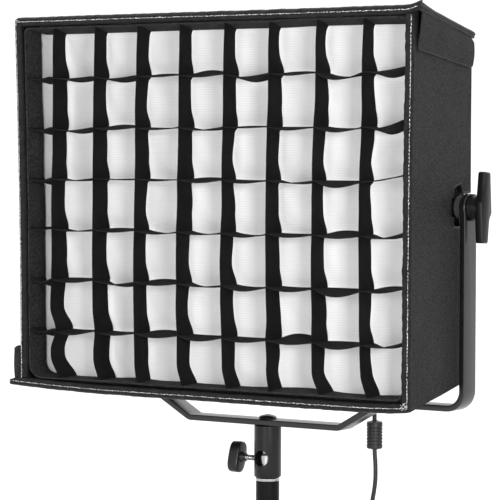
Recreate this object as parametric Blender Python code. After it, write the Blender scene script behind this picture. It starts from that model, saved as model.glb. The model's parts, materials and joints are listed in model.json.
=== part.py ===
"""A box softbox with an egg-crate grid, on an LED panel light held by a U yoke on the top of its stand.

Metres, +Z up. The origin is the middle of the stand tube's lower end, the light shines towards -Y, and the
yoke's tilt axis runs along X.
"""

import math

import bmesh
import bpy
from mathutils import Vector

GAP = 0.0003  # clearance left between pieces that touch

# Stand top and receiver, all on the Z axis.
TUBE_RADIUS = 0.0115
TUBE_LENGTH = 0.050
RING_HEIGHT = 0.0032
STUD_RADIUS = 0.00795
STUD_TOP = 0.096
RECEIVER_LOW = 0.054
RECEIVER_HEIGHT = 0.0508
RECEIVER_RADIUS = 0.01325
BORE_RADIUS = 0.0083
WINDOW_RADIUS = 0.0078
WINDOW_Z = 0.0728
SCREW_Z = 0.0713

# Yoke: one bent flat bar.
BAR_WIDTH = 0.0215
BAR_THICKNESS = 0.0057
BAR_LOW = RECEIVER_LOW + RECEIVER_HEIGHT + GAP
YOKE_HALF_WIDTH = 0.2232
DROP_HALF_WIDTH = 0.0869
DROP_HEIGHT = 0.0257
DROP_SLOPE = math.radians(30)
CORNER_RADIUS = 0.0173
EYE_RADIUS = 0.0128
PIVOT_Z = 0.3205

# Softbox: four flared walls round a front opening.
FRONT_Y = -0.1094
DEPTH = 0.150
BACK_Y = FRONT_Y + DEPTH
FRONT_HALF_WIDTH = 0.221
FRONT_HALF_HEIGHT = 0.183
TAPER = 0.0195
WALL = 0.003
HEM_WIDTH = 0.008
HEM_DEPTH = 0.010
OVERHANG_FRONT = 0.011
OVERHANG_BACK = 0.0028
FLAP_HEIGHT = 0.037
FLAP_THICKNESS = 0.0018

# Grid of fabric strips and the cloth behind it.
GRID_FRONT = FRONT_Y + 0.003
STRIP_DEPTH = 0.025
STRIP_THICKNESS = 0.0006
UPRIGHTS = 8
UPRIGHT_FIRST = -0.184
UPRIGHT_PITCH = 0.0505
CROSSES = 6
CROSS_PITCH = 0.0494
BAND_THICKNESS = 0.0015
CLOTH_Y = FRONT_Y + 0.030
CLOTH_THICKNESS = 0.0008

# LED panel light.
LIGHT_HALF_WIDTH = 0.195
LIGHT_HALF_HEIGHT = 0.153
LIGHT_FRONT = -0.020
LIGHT_BACK = 0.034
COVER_HALF_WIDTH = 0.160
COVER_HALF_HEIGHT = 0.118
COVER_BACK = 0.084
SHELL = 0.003
FAN_X = -0.070
FAN_RADIUS = 0.040

# DC lead.
LEAD_RADIUS = 0.0022
LEAD_X = 0.080
LEAD_Y = 0.068
PLUG_END = PIVOT_Z - COVER_HALF_HEIGHT - 0.0333
FERRITE_LOW = 0.0797
FERRITE_HIGH = 0.108
FERRITE_RADIUS = 0.0079
COIL_CENTRE = Vector((0.0768, LEAD_Y, -0.0141))
COIL_RADIUS = 0.0258
COIL_BUNDLE = 0.0076
LEAD_ROUTE = (
    (0.0800, LEAD_Y, PLUG_END - GAP),
    (0.0803, LEAD_Y, 0.1400),
    (0.0809, LEAD_Y, 0.1080),
    (0.0811, LEAD_Y, 0.0800),
    (0.0822, LEAD_Y, 0.0620),
    (0.0818, LEAD_Y, 0.0460),
    (0.0788, LEAD_Y, 0.0285),
    (0.0760, LEAD_Y, 0.0223),
)
TAIL_ROUTE = (
    (0.0457, LEAD_Y - 0.0035, -0.0320),
    (0.0455, LEAD_Y - 0.0035, -0.0410),
    (0.0455, LEAD_Y - 0.0035, -0.0500),
)

materials = {}


def finish(name, colour, roughness, metallic=0.0):
    """A Principled material, made once for each name."""
    if name not in materials:
        made = bpy.data.materials.new(name)
        made.use_nodes = True
        shader = made.node_tree.nodes["Principled BSDF"]
        shader.inputs["Base Color"].default_value = (*colour, 1.0)
        shader.inputs["Roughness"].default_value = roughness
        shader.inputs["Metallic"].default_value = metallic
        made.diffuse_color = (*colour, 1.0)
        materials[name] = made
    return materials[name]


def panel_fabric():
    return finish("panel_fabric", (0.055, 0.055, 0.058), 0.85)


def black_fabric():
    return finish("black_fabric", (0.012, 0.012, 0.013), 0.9)


def white_cloth():
    return finish("white_cloth", (0.80, 0.80, 0.80), 0.8)


def black_paint():
    return finish("black_paint", (0.045, 0.045, 0.048), 0.5, 0.2)


def black_plastic():
    return finish("black_plastic", (0.03, 0.03, 0.032), 0.45)


def steel():
    return finish("steel", (0.70, 0.70, 0.70), 0.2, 1.0)


def aluminium():
    return finish("aluminium", (0.60, 0.60, 0.62), 0.4, 1.0)


def lead_jacket():
    return finish("lead_jacket", (0.035, 0.035, 0.037), 0.55)


# Making solids.


def new_object(name, mesh_maker, made_of):
    """One object named after its sub-part, from a bmesh, with its faces turned outwards."""
    bmesh.ops.remove_doubles(mesh_maker, verts=mesh_maker.verts, dist=1e-6)
    bmesh.ops.recalc_face_normals(mesh_maker, faces=mesh_maker.faces)
    mesh = bpy.data.meshes.new(name)
    mesh_maker.to_mesh(mesh)
    mesh_maker.free()
    mesh.materials.append(made_of)
    mesh.shade_smooth()
    mesh.set_sharp_from_angle(angle=math.radians(35))
    obj = bpy.data.objects.new(name, mesh)
    bpy.context.scene.collection.objects.link(obj)
    return obj


def loft(name, loops, made_of, cyclic=False):
    """A skin over closed loops of points, capped at both ends, or joined end to end when cyclic."""
    maker = bmesh.new()
    rings = [[maker.verts.new(point) for point in loop] for loop in loops]
    pairs = list(zip(rings, rings[1:]))
    if cyclic:
        pairs.append((rings[-1], rings[0]))
    else:
        maker.faces.new(rings[0])
        maker.faces.new(rings[-1])
    for first, second in pairs:
        for i in range(len(first)):
            j = (i + 1) % len(first)
            maker.faces.new((first[i], first[j], second[j], second[i]))
    return new_object(name, maker, made_of)


def prism(name, outline, axis, low, high, made_of):
    """A flat outline, pushed from low to high along an axis. Its points are (y, z), (x, z) or (x, y)."""
    place = {
        "X": lambda point, along: (along, point[0], point[1]),
        "Y": lambda point, along: (point[0], along, point[1]),
        "Z": lambda point, along: (point[0], point[1], along),
    }[axis]
    return loft(name, [[place(point, along) for point in outline] for along in (low, high)], made_of)


def box(name, low, high, made_of):
    outline = ((low[0], low[1]), (high[0], low[1]), (high[0], high[1]), (low[0], high[1]))
    return prism(name, outline, "Z", low[2], high[2], made_of)


def rounded(obj, width, segments=2):
    """Rounds an object's edges with a Bevel modifier."""
    bevel = obj.modifiers.new("edges", "BEVEL")
    bevel.width = width
    bevel.segments = segments
    bevel.limit_method = "ANGLE"
    return obj


def turned(name, profile, centre, axis, made_of, steps=32):
    """A turned solid. The profile's (radius, height) points start and end on the axis or make a closed ring."""
    axis = Vector(axis)
    side = axis.orthogonal().normalized()
    centre = Vector(centre)
    maker = bmesh.new()
    verts = [maker.verts.new(centre + side * radius + axis * height) for radius, height in profile]
    pairs = list(zip(verts, verts[1:]))
    if profile[0][0] > 0:
        pairs.append((verts[-1], verts[0]))
    edges = [maker.edges.new(pair) for pair in pairs]
    bmesh.ops.spin(
        maker,
        geom=verts + edges,
        cent=centre,
        axis=axis,
        angle=math.tau,
        steps=steps,
        use_merge=True,
    )
    return new_object(name, maker, made_of)


def rod(name, radius, start, end, made_of, steps=32):
    """A plain cylinder from start to end."""
    start = Vector(start)
    along = Vector(end) - start
    profile = ((0, 0), (radius, 0), (radius, along.length), (0, along.length))
    return turned(name, profile, start, along.normalized(), made_of, steps)


def combine(target, other, operation):
    other.hide_render = True
    other.display_type = "WIRE"
    boolean = target.modifiers.new(operation.lower(), "BOOLEAN")
    boolean.operation = operation
    boolean.object = other


def cut(target, *cutters):
    for cutter in cutters:
        combine(target, cutter, "DIFFERENCE")
    return target


def join(target, *others):
    for other in others:
        combine(target, other, "UNION")
    return target


def arc(centre, radius, first, last, steps):
    """Points of an arc in a flat outline, angles in degrees."""
    angles = [math.radians(first + (last - first) * i / steps) for i in range(steps + 1)]
    return [(centre[0] + radius * math.cos(a), centre[1] + radius * math.sin(a)) for a in angles]


def rounded_rectangle(half_width, half_height, radius, steps=4):
    """Points (x, z) of a rectangle round the tilt axis, with round corners."""
    points = []
    for sign_x, sign_z, first in ((1, 1, 0), (-1, 1, 90), (-1, -1, 180), (1, -1, 270)):
        centre = (sign_x * (half_width - radius), PIVOT_Z + sign_z * (half_height - radius))
        points += arc(centre, radius, first, first + 90, steps)
    return points


def at_depth(outline, y):
    return [(x, y, z) for x, z in outline]


def pan(name, half_width, half_height, open_y, closed_y, corner, made_of):
    """A shallow box with round corners, open at open_y, with a floor at closed_y."""
    floor_y = closed_y - math.copysign(SHELL, closed_y - open_y)
    outer = rounded_rectangle(half_width, half_height, corner)
    inner = rounded_rectangle(half_width - SHELL, half_height - SHELL, corner - SHELL)
    loops = [at_depth(outer, closed_y), at_depth(outer, open_y), at_depth(inner, open_y), at_depth(inner, floor_y)]
    return loft(name, loops, made_of)


def frame(name, outer, inner, front_y, back_y, made_of):
    """A flat rectangular frame between two outlines of the same number of points."""
    loops = [at_depth(outer, front_y), at_depth(outer, back_y), at_depth(inner, back_y), at_depth(inner, front_y)]
    return loft(name, loops, made_of, cyclic=True)


# The softbox's outer surface.


def half_width(y):
    return FRONT_HALF_WIDTH - TAPER * (y - FRONT_Y) / DEPTH


def half_height(y):
    return FRONT_HALF_HEIGHT - TAPER * (y - FRONT_Y) / DEPTH


def overhang(y):
    """How far the top and bottom panels reach past the side wall that their flap closes on."""
    return OVERHANG_FRONT + (OVERHANG_BACK - OVERHANG_FRONT) * (y - FRONT_Y) / DEPTH


def turn_half(points):
    """The same points after half a turn about the softbox's own axis: top right becomes bottom left."""
    return [(-x, y, 2 * PIVOT_Z - z) for x, y, z in points]


def wall_stations():
    """Depth, thickness and how far a side wall stops short of the panel it butts on, from hem to back edge."""
    hem_back = FRONT_Y + HEM_DEPTH
    return (
        (FRONT_Y, HEM_WIDTH, HEM_WIDTH + GAP),
        (hem_back, HEM_WIDTH, HEM_WIDTH + GAP),
        (hem_back + GAP, WALL, HEM_WIDTH + GAP),
        (hem_back + 0.006, WALL, WALL + GAP),
        (BACK_Y, WALL, WALL + GAP),
    )


def side_wall():
    """Loops of the right wall: mitred below, butted under the top panel above."""
    loops = []
    for y, thickness, butt in wall_stations():
        x = half_width(y)
        low = PIVOT_Z - half_height(y) + GAP
        high = PIVOT_Z + half_height(y) - butt
        loops.append([(x, y, low), (x, y, high), (x - thickness, y, high), (x - thickness, y, low + thickness)])
    return loops


def level_wall():
    """Loops of the top wall: mitred on the left, reaching past the right wall."""
    loops = []
    for y, thickness, _ in wall_stations():
        left = -half_width(y) + GAP
        right = half_width(y) + overhang(y)
        high = PIVOT_Z + half_height(y)
        low = high - thickness
        loops.append([(left, y, high), (right, y, high), (right, y, low), (left + thickness, y, low)])
    return loops


def turned_over(loops):
    return [turn_half(loop) for loop in loops]


def pivot_notch(side):
    """The opening that lets a side wall pass the yoke's pivot: a notch from the back and a hole round the axis."""
    inner = side * 0.190
    outer = side * 0.240
    outline = ((0.060, 0.022), (0.010, 0.022), (-0.002, 0.012), (-0.002, -0.012), (0.010, -0.022), (0.060, -0.022))
    points = [(y, PIVOT_Z + z) for y, z in outline]
    low, high = sorted((inner, outer))
    slot = prism(f"pivot_slot_{side}", points, "X", low, high, panel_fabric())
    hole = rod(f"pivot_hole_{side}", 0.0105, (inner, 0, PIVOT_Z), (outer, 0, PIVOT_Z), panel_fabric())
    return slot, hole


def make_walls():
    loft("top_panel", level_wall(), panel_fabric())
    loft("bottom_panel", turned_over(level_wall()), panel_fabric())
    cut(loft("right_panel", side_wall(), panel_fabric()), *pivot_notch(1))
    cut(loft("left_panel", turned_over(side_wall()), panel_fabric()), *pivot_notch(-1))


def flap_loops():
    """The flap that hangs from the top panel over the right wall, behind the hem."""
    loops = []
    for y in (FRONT_Y + HEM_DEPTH + 0.001, BACK_Y - 0.002):
        outer = half_width(y) + overhang(y)
        high = PIVOT_Z + half_height(y) - WALL - GAP
        lean = 0.35 * (overhang(y) - OVERHANG_BACK)
        loops.append(
            [(outer - FLAP_THICKNESS, y, high), (outer, y, high), (outer - lean, y, high - FLAP_HEIGHT),
             (outer - lean - FLAP_THICKNESS, y, high - FLAP_HEIGHT)]
        )
    return loops


def make_flaps():
    loft("top_right_flap", flap_loops(), panel_fabric())
    loft("bottom_left_flap", turned_over(flap_loops()), panel_fabric())


def make_rear_collar():
    """The elastic band that grips the light inside the softbox's back edge."""
    front = BACK_Y - 0.018
    back = BACK_Y - 0.009
    outer = rounded_rectangle(half_width(back) - WALL - 0.0006, half_height(back) - WALL - 0.0006, 0.013)
    inner = rounded_rectangle(LIGHT_HALF_WIDTH + 0.0005, LIGHT_HALF_HEIGHT + 0.0005, 0.0125)
    frame("rear_collar", outer, inner, front, back, black_fabric())


# Grid and cloth.


def band_half_sizes(y):
    return half_width(y) - HEM_WIDTH - GAP, half_height(y) - HEM_WIDTH - GAP


def make_grid_band():
    """The fabric band round the grid, which sits inside the hems."""
    back = CLOTH_Y - CLOTH_THICKNESS
    wide, tall = band_half_sizes(FRONT_Y + HEM_DEPTH)
    outer = rounded_rectangle(wide, tall, 0.004, 2)
    inner = rounded_rectangle(wide - BAND_THICKNESS, tall - BAND_THICKNESS, 0.0025, 2)
    frame("grid_band", outer, inner, GRID_FRONT, back, black_fabric())
    return wide - BAND_THICKNESS - GAP, tall - BAND_THICKNESS - GAP


def strip_outline(low, high, slots, open_front):
    """A strip's outline as (y, length), with a half-depth slot where each crossing strip passes."""
    back = GRID_FRONT + STRIP_DEPTH
    middle = GRID_FRONT + STRIP_DEPTH / 2 + (GAP if open_front else -GAP)
    edge = GRID_FRONT if open_front else back
    far = back if open_front else GRID_FRONT
    slot = STRIP_THICKNESS / 2 + GAP
    points = [(far, high), (far, low), (edge, low)]
    for place in slots:
        points += [(edge, place - slot), (middle, place - slot), (middle, place + slot), (edge, place + slot)]
    return points + [(edge, high)]


def upright_places():
    return [UPRIGHT_FIRST + i * UPRIGHT_PITCH for i in range(UPRIGHTS)]


def cross_places():
    first = PIVOT_Z - CROSS_PITCH * (CROSSES - 1) / 2
    return [first + i * CROSS_PITCH for i in range(CROSSES)]


def make_grid():
    wide, tall = make_grid_band()
    half = STRIP_THICKNESS / 2
    upright = strip_outline(PIVOT_Z - tall, PIVOT_Z + tall, cross_places(), open_front=False)
    for i, x in enumerate(upright_places(), 1):
        prism(f"grid_upright_{i}", upright, "X", x - half, x + half, black_fabric())
    cross = [(x, y) for y, x in strip_outline(-wide, wide, upright_places(), open_front=True)]
    for i, z in enumerate(cross_places(), 1):
        prism(f"grid_cross_{i}", cross, "Z", z - half, z + half, black_fabric())


def make_diffuser_cloth():
    wide = half_width(CLOTH_Y) - WALL - 0.002
    tall = half_height(CLOTH_Y) - WALL - 0.002
    box(
        "diffuser_cloth",
        (-wide, CLOTH_Y, PIVOT_Z - tall),
        (wide, CLOTH_Y + CLOTH_THICKNESS, PIVOT_Z + tall),
        white_cloth(),
    )


# LED panel light.


def make_light_front():
    """Bezel, diffusion plate, LED board and the front housing that holds them."""
    housing = pan(
        "main_housing", LIGHT_HALF_WIDTH, LIGHT_HALF_HEIGHT, LIGHT_FRONT, LIGHT_BACK, 0.012, black_plastic()
    )
    cut(housing, box("housing_window", (-0.140, 0.020, PIVOT_Z - 0.100), (0.140, 0.060, PIVOT_Z + 0.100),
                     black_plastic()))
    outer = rounded_rectangle(LIGHT_HALF_WIDTH, LIGHT_HALF_HEIGHT, 0.012)
    inner = rounded_rectangle(LIGHT_HALF_WIDTH - 0.012, LIGHT_HALF_HEIGHT - 0.012, 0.004)
    frame("front_bezel", outer, inner, LIGHT_FRONT - 0.0045, LIGHT_FRONT - GAP, black_plastic())
    wide = LIGHT_HALF_WIDTH - SHELL - 0.001
    tall = LIGHT_HALF_HEIGHT - SHELL - 0.001
    for name, near, far, made_of in (
        ("diffusion_plate", LIGHT_FRONT, LIGHT_FRONT + 0.002, white_cloth()),
        ("led_board", LIGHT_FRONT + 0.020, LIGHT_FRONT + 0.0218, aluminium()),
    ):
        plate = at_depth(rounded_rectangle(wide, tall, 0.008), near)
        loft(name, [plate, at_depth(rounded_rectangle(wide, tall, 0.008), far)], made_of)


def make_heat_sink():
    """Finned block behind the LED board; its fins stand towards the fan."""
    base, root, tip = LIGHT_FRONT + 0.0225, LIGHT_FRONT + 0.0275, 0.056
    fins, pitch, thick = 20, 0.013, 0.0018
    left = -pitch * (fins - 1) / 2 - 0.005
    points = [(left, root), (left, base), (-left, base), (-left, root)]
    for i in range(fins):
        x = pitch * (fins - 1) / 2 - i * pitch
        points += [(x + thick / 2, root), (x + thick / 2, tip), (x - thick / 2, tip), (x - thick / 2, root)]
    prism("heat_sink", points, "Z", PIVOT_Z - 0.095, PIVOT_Z + 0.095, aluminium())


def make_rear_cover():
    cover = pan(
        "rear_cover", COVER_HALF_WIDTH, COVER_HALF_HEIGHT, LIGHT_BACK + GAP, COVER_BACK, 0.016, black_plastic()
    )
    back = COVER_BACK
    fan_hole = rod("fan_hole", FAN_RADIUS, (FAN_X, back - 0.01, PIVOT_Z), (FAN_X, back + 0.01, PIVOT_Z),
                   black_plastic(), 40)
    dial_holes = [rod(f"dial_hole_{i}", 0.0035, (x, back - 0.01, z), (x, back + 0.01, z), black_plastic(), 16)
                  for i, (x, z) in enumerate(dial_places())]
    button_holes = [rod(f"button_hole_{i}", 0.0050, (x, back - 0.01, z), (x, back + 0.01, z), black_plastic(), 16)
                    for i, (x, z) in enumerate(button_places())]
    switch_hole = box("switch_hole", (0.1215, back - 0.01, PIVOT_Z - 0.0725), (0.1385, back + 0.01,
                      PIVOT_Z - 0.0475), black_plastic())
    socket_hole = rod("socket_hole", 0.0075, (LEAD_X, LEAD_Y, PIVOT_Z - COVER_HALF_HEIGHT - 0.01),
                      (LEAD_X, LEAD_Y, PIVOT_Z - COVER_HALF_HEIGHT + 0.01), black_plastic(), 24)
    vents = [box(f"vent_{i}", (x - 0.0025, LIGHT_BACK + 0.010, PIVOT_Z + 0.110), (x + 0.0025, back - 0.012,
                 PIVOT_Z + 0.125), black_plastic()) for i, x in enumerate(vent_places())]
    cut(cover, fan_hole, *dial_holes, *button_holes, switch_hole, socket_hole, *vents)


def vent_places():
    """Slots in the rear cover's top, where the fan's air leaves."""
    return [0.012 * (i - 9) for i in range(19)]


def dial_places():
    return ((0.070, PIVOT_Z - 0.030), (0.120, PIVOT_Z - 0.030))


def button_places():
    return ((0.070, PIVOT_Z - 0.060), (0.092, PIVOT_Z - 0.060))


def make_fan():
    """Rotor on the heat sink's axis, and the grille that covers it."""
    hub, tip, blades = 0.012, 0.036, 7
    points = []
    for i in range(blades):
        start = 360 / blades * i
        points += arc((FAN_X, PIVOT_Z), hub, start, start + 26, 2)
        points += arc((FAN_X, PIVOT_Z), tip, start + 30, start + 44, 2)
    prism("fan_rotor", points, "Y", 0.062, 0.072, black_plastic())
    grille = turned("fan_grille", ((0, 0), (0.047, 0), (0.047, 0.0012), (0, 0.0012)),
                    (FAN_X, COVER_BACK + GAP, PIVOT_Z), (0, 1, 0), black_paint(), 48)
    slots = []
    for i in range(9):
        z = (i - 4) * 0.0085
        reach = math.sqrt(0.040**2 - z**2)
        slots.append(box(f"grille_slot_{i}", (FAN_X - reach, COVER_BACK - 0.005, PIVOT_Z + z - 0.0031),
                         (FAN_X + reach, COVER_BACK + 0.005, PIVOT_Z + z + 0.0031), black_paint()))
    cut(grille, *slots)


def dial_outline(radius, teeth):
    """Knurled circle: every second point stands a little further out."""
    points = []
    for i in range(teeth * 2):
        angle = math.tau * i / (teeth * 2)
        reach = radius - (0.0004 if i % 2 else 0)
        points.append((reach * math.cos(angle), reach * math.sin(angle)))
    return points


def make_controls():
    back = COVER_BACK
    display = box("display_window", (0.062, back + GAP, PIVOT_Z), (0.134, back + 0.0015, PIVOT_Z + 0.040),
                  finish("display_glass", (0.02, 0.03, 0.035), 0.08))
    rounded(display, 0.0006, 1)
    for name, (x, z) in zip(("brightness_dial", "colour_dial"), dial_places()):
        outline = [(x + u, z + v) for u, v in dial_outline(0.0110, 20)]
        dial = prism(name, outline, "Y", back + 0.0008, back + 0.0135, black_plastic())
        join(dial, rod(name + "_shaft", 0.0030, (x, back - 0.008, z), (x, back + 0.006, z), black_plastic(), 16))
    for name, (x, z) in zip(("menu_button", "mode_button"), button_places()):
        profile = ((0, 0), (0.0056, 0), (0.0056, 0.0015), (0.0044, 0.0015), (0.0044, 0.0066), (0.0038, 0.0072),
                   (0, 0.0072))
        turned(name, profile, (x, back - 0.0048, z), (0, 1, 0), black_plastic(), 20)
    make_power_switch()
    profile = ((0.0033, 0.0002), (0.0072, 0.0002), (0.0072, 0.0150), (0.0033, 0.0150))
    turned("dc_socket", profile, (LEAD_X, LEAD_Y, PIVOT_Z - COVER_HALF_HEIGHT), (0, 0, 1), black_plastic(), 24)


def make_power_switch():
    """A rocker, wider at the back, that turns about X inside its hole."""
    x, z, back = 0.130, PIVOT_Z - 0.060, COVER_BACK
    outline = ((back - 0.006, z - 0.0095), (back + 0.0012, z - 0.0112), (back + 0.0016, z), (back + 0.0034,
               z + 0.0108), (back - 0.006, z + 0.0095))
    prism("power_switch", outline, "X", x - 0.0078, x + 0.0078, black_plastic())


def make_pivots():
    """On each side: the light's boss, a spacer washer, and a T handle with its screw."""
    for side, name in ((1, "right"), (-1, "left")):
        axis = (side, 0, 0)
        inner = YOKE_HALF_WIDTH - BAR_THICKNESS
        boss = ((0.0046, 0), (0.0090, 0), (0.0090, 0.0160), (0.0046, 0.0160))
        turned(f"{name}_pivot_boss", boss, (side * (LIGHT_HALF_WIDTH + GAP), 0, PIVOT_Z), axis, black_paint())
        start = LIGHT_HALF_WIDTH + 0.0160 + 2 * GAP
        reach = inner - GAP - start
        washer = ((0.0046, 0), (0.0110, 0), (0.0110, reach), (0.0046, reach))
        turned(f"{name}_spacer", washer, (side * start, 0, PIVOT_Z), axis, finish("fibre", (0.02, 0.02, 0.02), 0.8))
        screw_end = YOKE_HALF_WIDTH + 0.0075
        rod(f"{name}_tilt_screw", 0.0040, (side * 0.1985, 0, PIVOT_Z), (side * screw_end, 0, PIVOT_Z), steel(), 24)
        make_tilt_handle(side, name)


def make_tilt_handle(side, name):
    """A T handle: a turned hub and a bar that widens towards its middle."""
    seat = side * (YOKE_HALF_WIDTH + GAP)
    hub = ((0, 0.0076), (0.0044, 0.0076), (0.0044, 0), (0.0124, 0), (0.0124, 0.0030), (0.0110, 0.0036),
           (0.0096, 0.0118), (0, 0.0118))
    handle = turned(f"{name}_tilt_handle", hub, (seat, 0, PIVOT_Z), (side, 0, 0), black_plastic())
    half, tip, middle = 0.0330, 0.0048, 0.0078
    outline = []
    for turn in (0, 180):
        c, s = math.cos(math.radians(turn)), math.sin(math.radians(turn))
        for y, z in ((tip, half), (-tip, half), (-tip - 0.0006, 0.012), (-middle, 0.004), (-middle, -0.004)):
            outline.append((y * c - z * s, PIVOT_Z + y * s + z * c))
    low, high = sorted((seat + side * 0.0098, seat + side * 0.0165))
    bar = rounded(prism(f"{name}_handle_bar", outline, "X", low, high, black_plastic()), 0.0012, 1)
    join(handle, bar)


# Yoke, receiver and stand.


def bent_outline(corners, thickness, bend_radius):
    """The two sides of a bar that follows the corners, with its bends rounded."""
    sides = {1: [], -1: []}
    points = [Vector(corner) for corner in corners]
    for i, point in enumerate(points):
        if i in (0, len(points) - 1):
            other = points[1] if i == 0 else points[-2]
            along = (other - point).normalized() * (1 if i == 0 else -1)
            normal = Vector((-along.y, along.x))
            for sign in (1, -1):
                sides[sign].append(point + normal * sign * thickness / 2)
            continue
        before = (point - points[i - 1]).normalized()
        after = (points[i + 1] - point).normalized()
        turn = before.angle_signed(after)
        left = 1 if before.cross(after) > 0 else -1
        bisector = (after - before).normalized()
        centre = point + bisector * bend_radius[i] / math.cos(abs(turn) / 2)
        start = math.atan2(*reversed(-Vector((-before.y, before.x)) * left))
        for step in range(5):
            angle = start + left * abs(turn) * step / 4
            out = Vector((math.cos(angle), math.sin(angle)))
            for sign in (1, -1):
                reach = bend_radius[i] - sign * left * thickness / 2
                sides[sign].append(centre + out * reach)
    return sides[1] + sides[-1][::-1]


def make_yoke():
    middle = BAR_THICKNESS / 2
    side = YOKE_HALF_WIDTH - middle
    low = BAR_LOW + middle
    drop = DROP_HEIGHT / math.tan(DROP_SLOPE)
    half = [(DROP_HALF_WIDTH, low), (DROP_HALF_WIDTH + drop, low + DROP_HEIGHT), (side, low + DROP_HEIGHT),
            (side, PIVOT_Z)]
    corners = [(-x, z) for x, z in reversed(half)] + half
    bends = (0, CORNER_RADIUS, 0.008, 0.008, 0.008, 0.008, CORNER_RADIUS, 0)
    outline = bent_outline(corners, BAR_THICKNESS, bends)
    yoke = prism("yoke", outline, "Y", -BAR_WIDTH / 2, BAR_WIDTH / 2, black_paint())
    for sign in (1, -1):
        inner, outer = sign * (YOKE_HALF_WIDTH - BAR_THICKNESS), sign * YOKE_HALF_WIDTH
        join(yoke, rod(f"eye_{sign}", EYE_RADIUS, (inner, 0, PIVOT_Z), (outer, 0, PIVOT_Z), black_paint()))
    for sign in (1, -1):
        cut(yoke, rod(f"eye_hole_{sign}", 0.0045, (sign * 0.21, 0, PIVOT_Z), (sign * 0.23, 0, PIVOT_Z),
                      black_paint(), 24))
    cut(yoke, rod("bolt_hole", 0.0045, (0, 0, BAR_LOW - 0.01), (0, 0, BAR_LOW + 0.02), black_paint(), 24))


def make_yoke_bolt():
    """Domed bolt that holds the receiver under the bar."""
    seat = BAR_LOW + BAR_THICKNESS + GAP
    dome = [(0.0095 * math.cos(math.radians(a)), 0.0008 + 0.0052 * math.sin(math.radians(a))) for a in
            (0, 22.5, 45, 67.5)]
    profile = [(0, -0.0125), (0.0040, -0.0125), (0.0040, 0), (0.0095, 0), *dome, (0, 0.0060)]
    turned("yoke_bolt", profile, (0, 0, seat), (0, 0, 1), black_paint(), 24)


def make_receiver():
    """Socket with a blind bore from below, a round window in front and a threaded side hole."""
    top, depth = RECEIVER_HEIGHT, 0.0430
    profile = ((BORE_RADIUS, 0), (RECEIVER_RADIUS - 0.0008, 0), (RECEIVER_RADIUS, 0.0012),
               (RECEIVER_RADIUS, top), (0.0044, top), (0.0044, depth), (BORE_RADIUS, depth))
    receiver = turned("receiver", profile, (0, 0, RECEIVER_LOW), (0, 0, 1), black_paint(), 40)
    window = rod("receiver_window", WINDOW_RADIUS, (0, -0.020, WINDOW_Z), (0, 0, WINDOW_Z), black_paint())
    screw_hole = rod("screw_hole", 0.0032, (-0.020, 0, SCREW_Z), (0, 0, SCREW_Z), black_paint(), 24)
    cut(receiver, window, screw_hole)


def make_thumbscrew():
    """Steel rod through the receiver's side, with a broad oval wing knob."""
    rod("thumbscrew_rod", 0.0028, (-0.0084, 0, SCREW_Z), (-0.0300, 0, SCREW_Z), steel(), 20)
    wing = [(0.0072 * math.cos(a), 0.0152 * math.sin(a)) for a in (math.tau * i / 28 for i in range(28))]
    lean = math.radians(14)
    outline = [(y * math.cos(lean) - z * math.sin(lean), SCREW_Z - 0.0005 + y * math.sin(lean) + z * math.cos(lean))
               for y, z in wing]
    knob = rounded(prism("thumbscrew_knob", outline, "X", -0.0400, -0.0302, black_plastic()), 0.0012, 1)
    collar = ((0.0031, 0), (0.0050, 0), (0.0042, 0.0045), (0.0031, 0.0045))
    join(knob, turned("thumbscrew_collar", collar, (-0.0308, 0, SCREW_Z), (1, 0, 0), black_plastic(), 20))


def make_stand_top():
    chamfer = 0.0008
    tube = ((0, 0), (TUBE_RADIUS - chamfer, 0), (TUBE_RADIUS, chamfer), (TUBE_RADIUS, TUBE_LENGTH), (0, TUBE_LENGTH))
    turned("stand_tube", tube, (0, 0, 0), (0, 0, 1), black_paint())
    ring_low = TUBE_LENGTH + GAP
    ring_top = ring_low + RING_HEIGHT
    stud = ((0, ring_low), (TUBE_RADIUS, ring_low), (TUBE_RADIUS + 0.0002, ring_low + 0.0006),
            (TUBE_RADIUS + 0.0002, ring_top - 0.0006), (TUBE_RADIUS - 0.0004, ring_top), (STUD_RADIUS, ring_top),
            (STUD_RADIUS, STUD_TOP - 0.020), (STUD_RADIUS - 0.0012, STUD_TOP - 0.018),
            (STUD_RADIUS - 0.0012, STUD_TOP - 0.010), (STUD_RADIUS, STUD_TOP - 0.008),
            (STUD_RADIUS, STUD_TOP - 0.001), (STUD_RADIUS - 0.001, STUD_TOP), (0, STUD_TOP))
    turned("stand_stud", stud, (0, 0, 0), (0, 0, 1), steel())


# DC lead.


def smooth_route(points, spacing):
    """Points of a Catmull-Rom curve through the route, about spacing apart."""
    route = [Vector(point) for point in points]
    ends = [route[0] * 2 - route[1], *route, route[-1] * 2 - route[-2]]
    found = []
    for a, b, c, d in zip(ends, ends[1:], ends[2:], ends[3:]):
        steps = max(1, round((c - b).length / spacing))
        for i in range(steps):
            t = i / steps
            found.append(
                0.5 * (2 * b + (c - a) * t + (2 * a - 5 * b + 4 * c - d) * t**2 + (3 * b - a - 3 * c + d) * t**3)
            )
    return [*found, route[-1]]


def tube(name, points, radius, made_of):
    """A round cord along the points, as a curve with a bevel."""
    curve = bpy.data.curves.new(name, "CURVE")
    curve.dimensions = "3D"
    curve.bevel_depth = radius
    curve.bevel_resolution = 2
    curve.use_fill_caps = True
    spline = curve.splines.new("POLY")
    spline.points.add(len(points) - 1)
    for spot, point in zip(spline.points, points):
        spot.co = (*point, 1)
    curve.materials.append(made_of)
    obj = bpy.data.objects.new(name, curve)
    bpy.context.scene.collection.objects.link(obj)
    return obj


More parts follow.
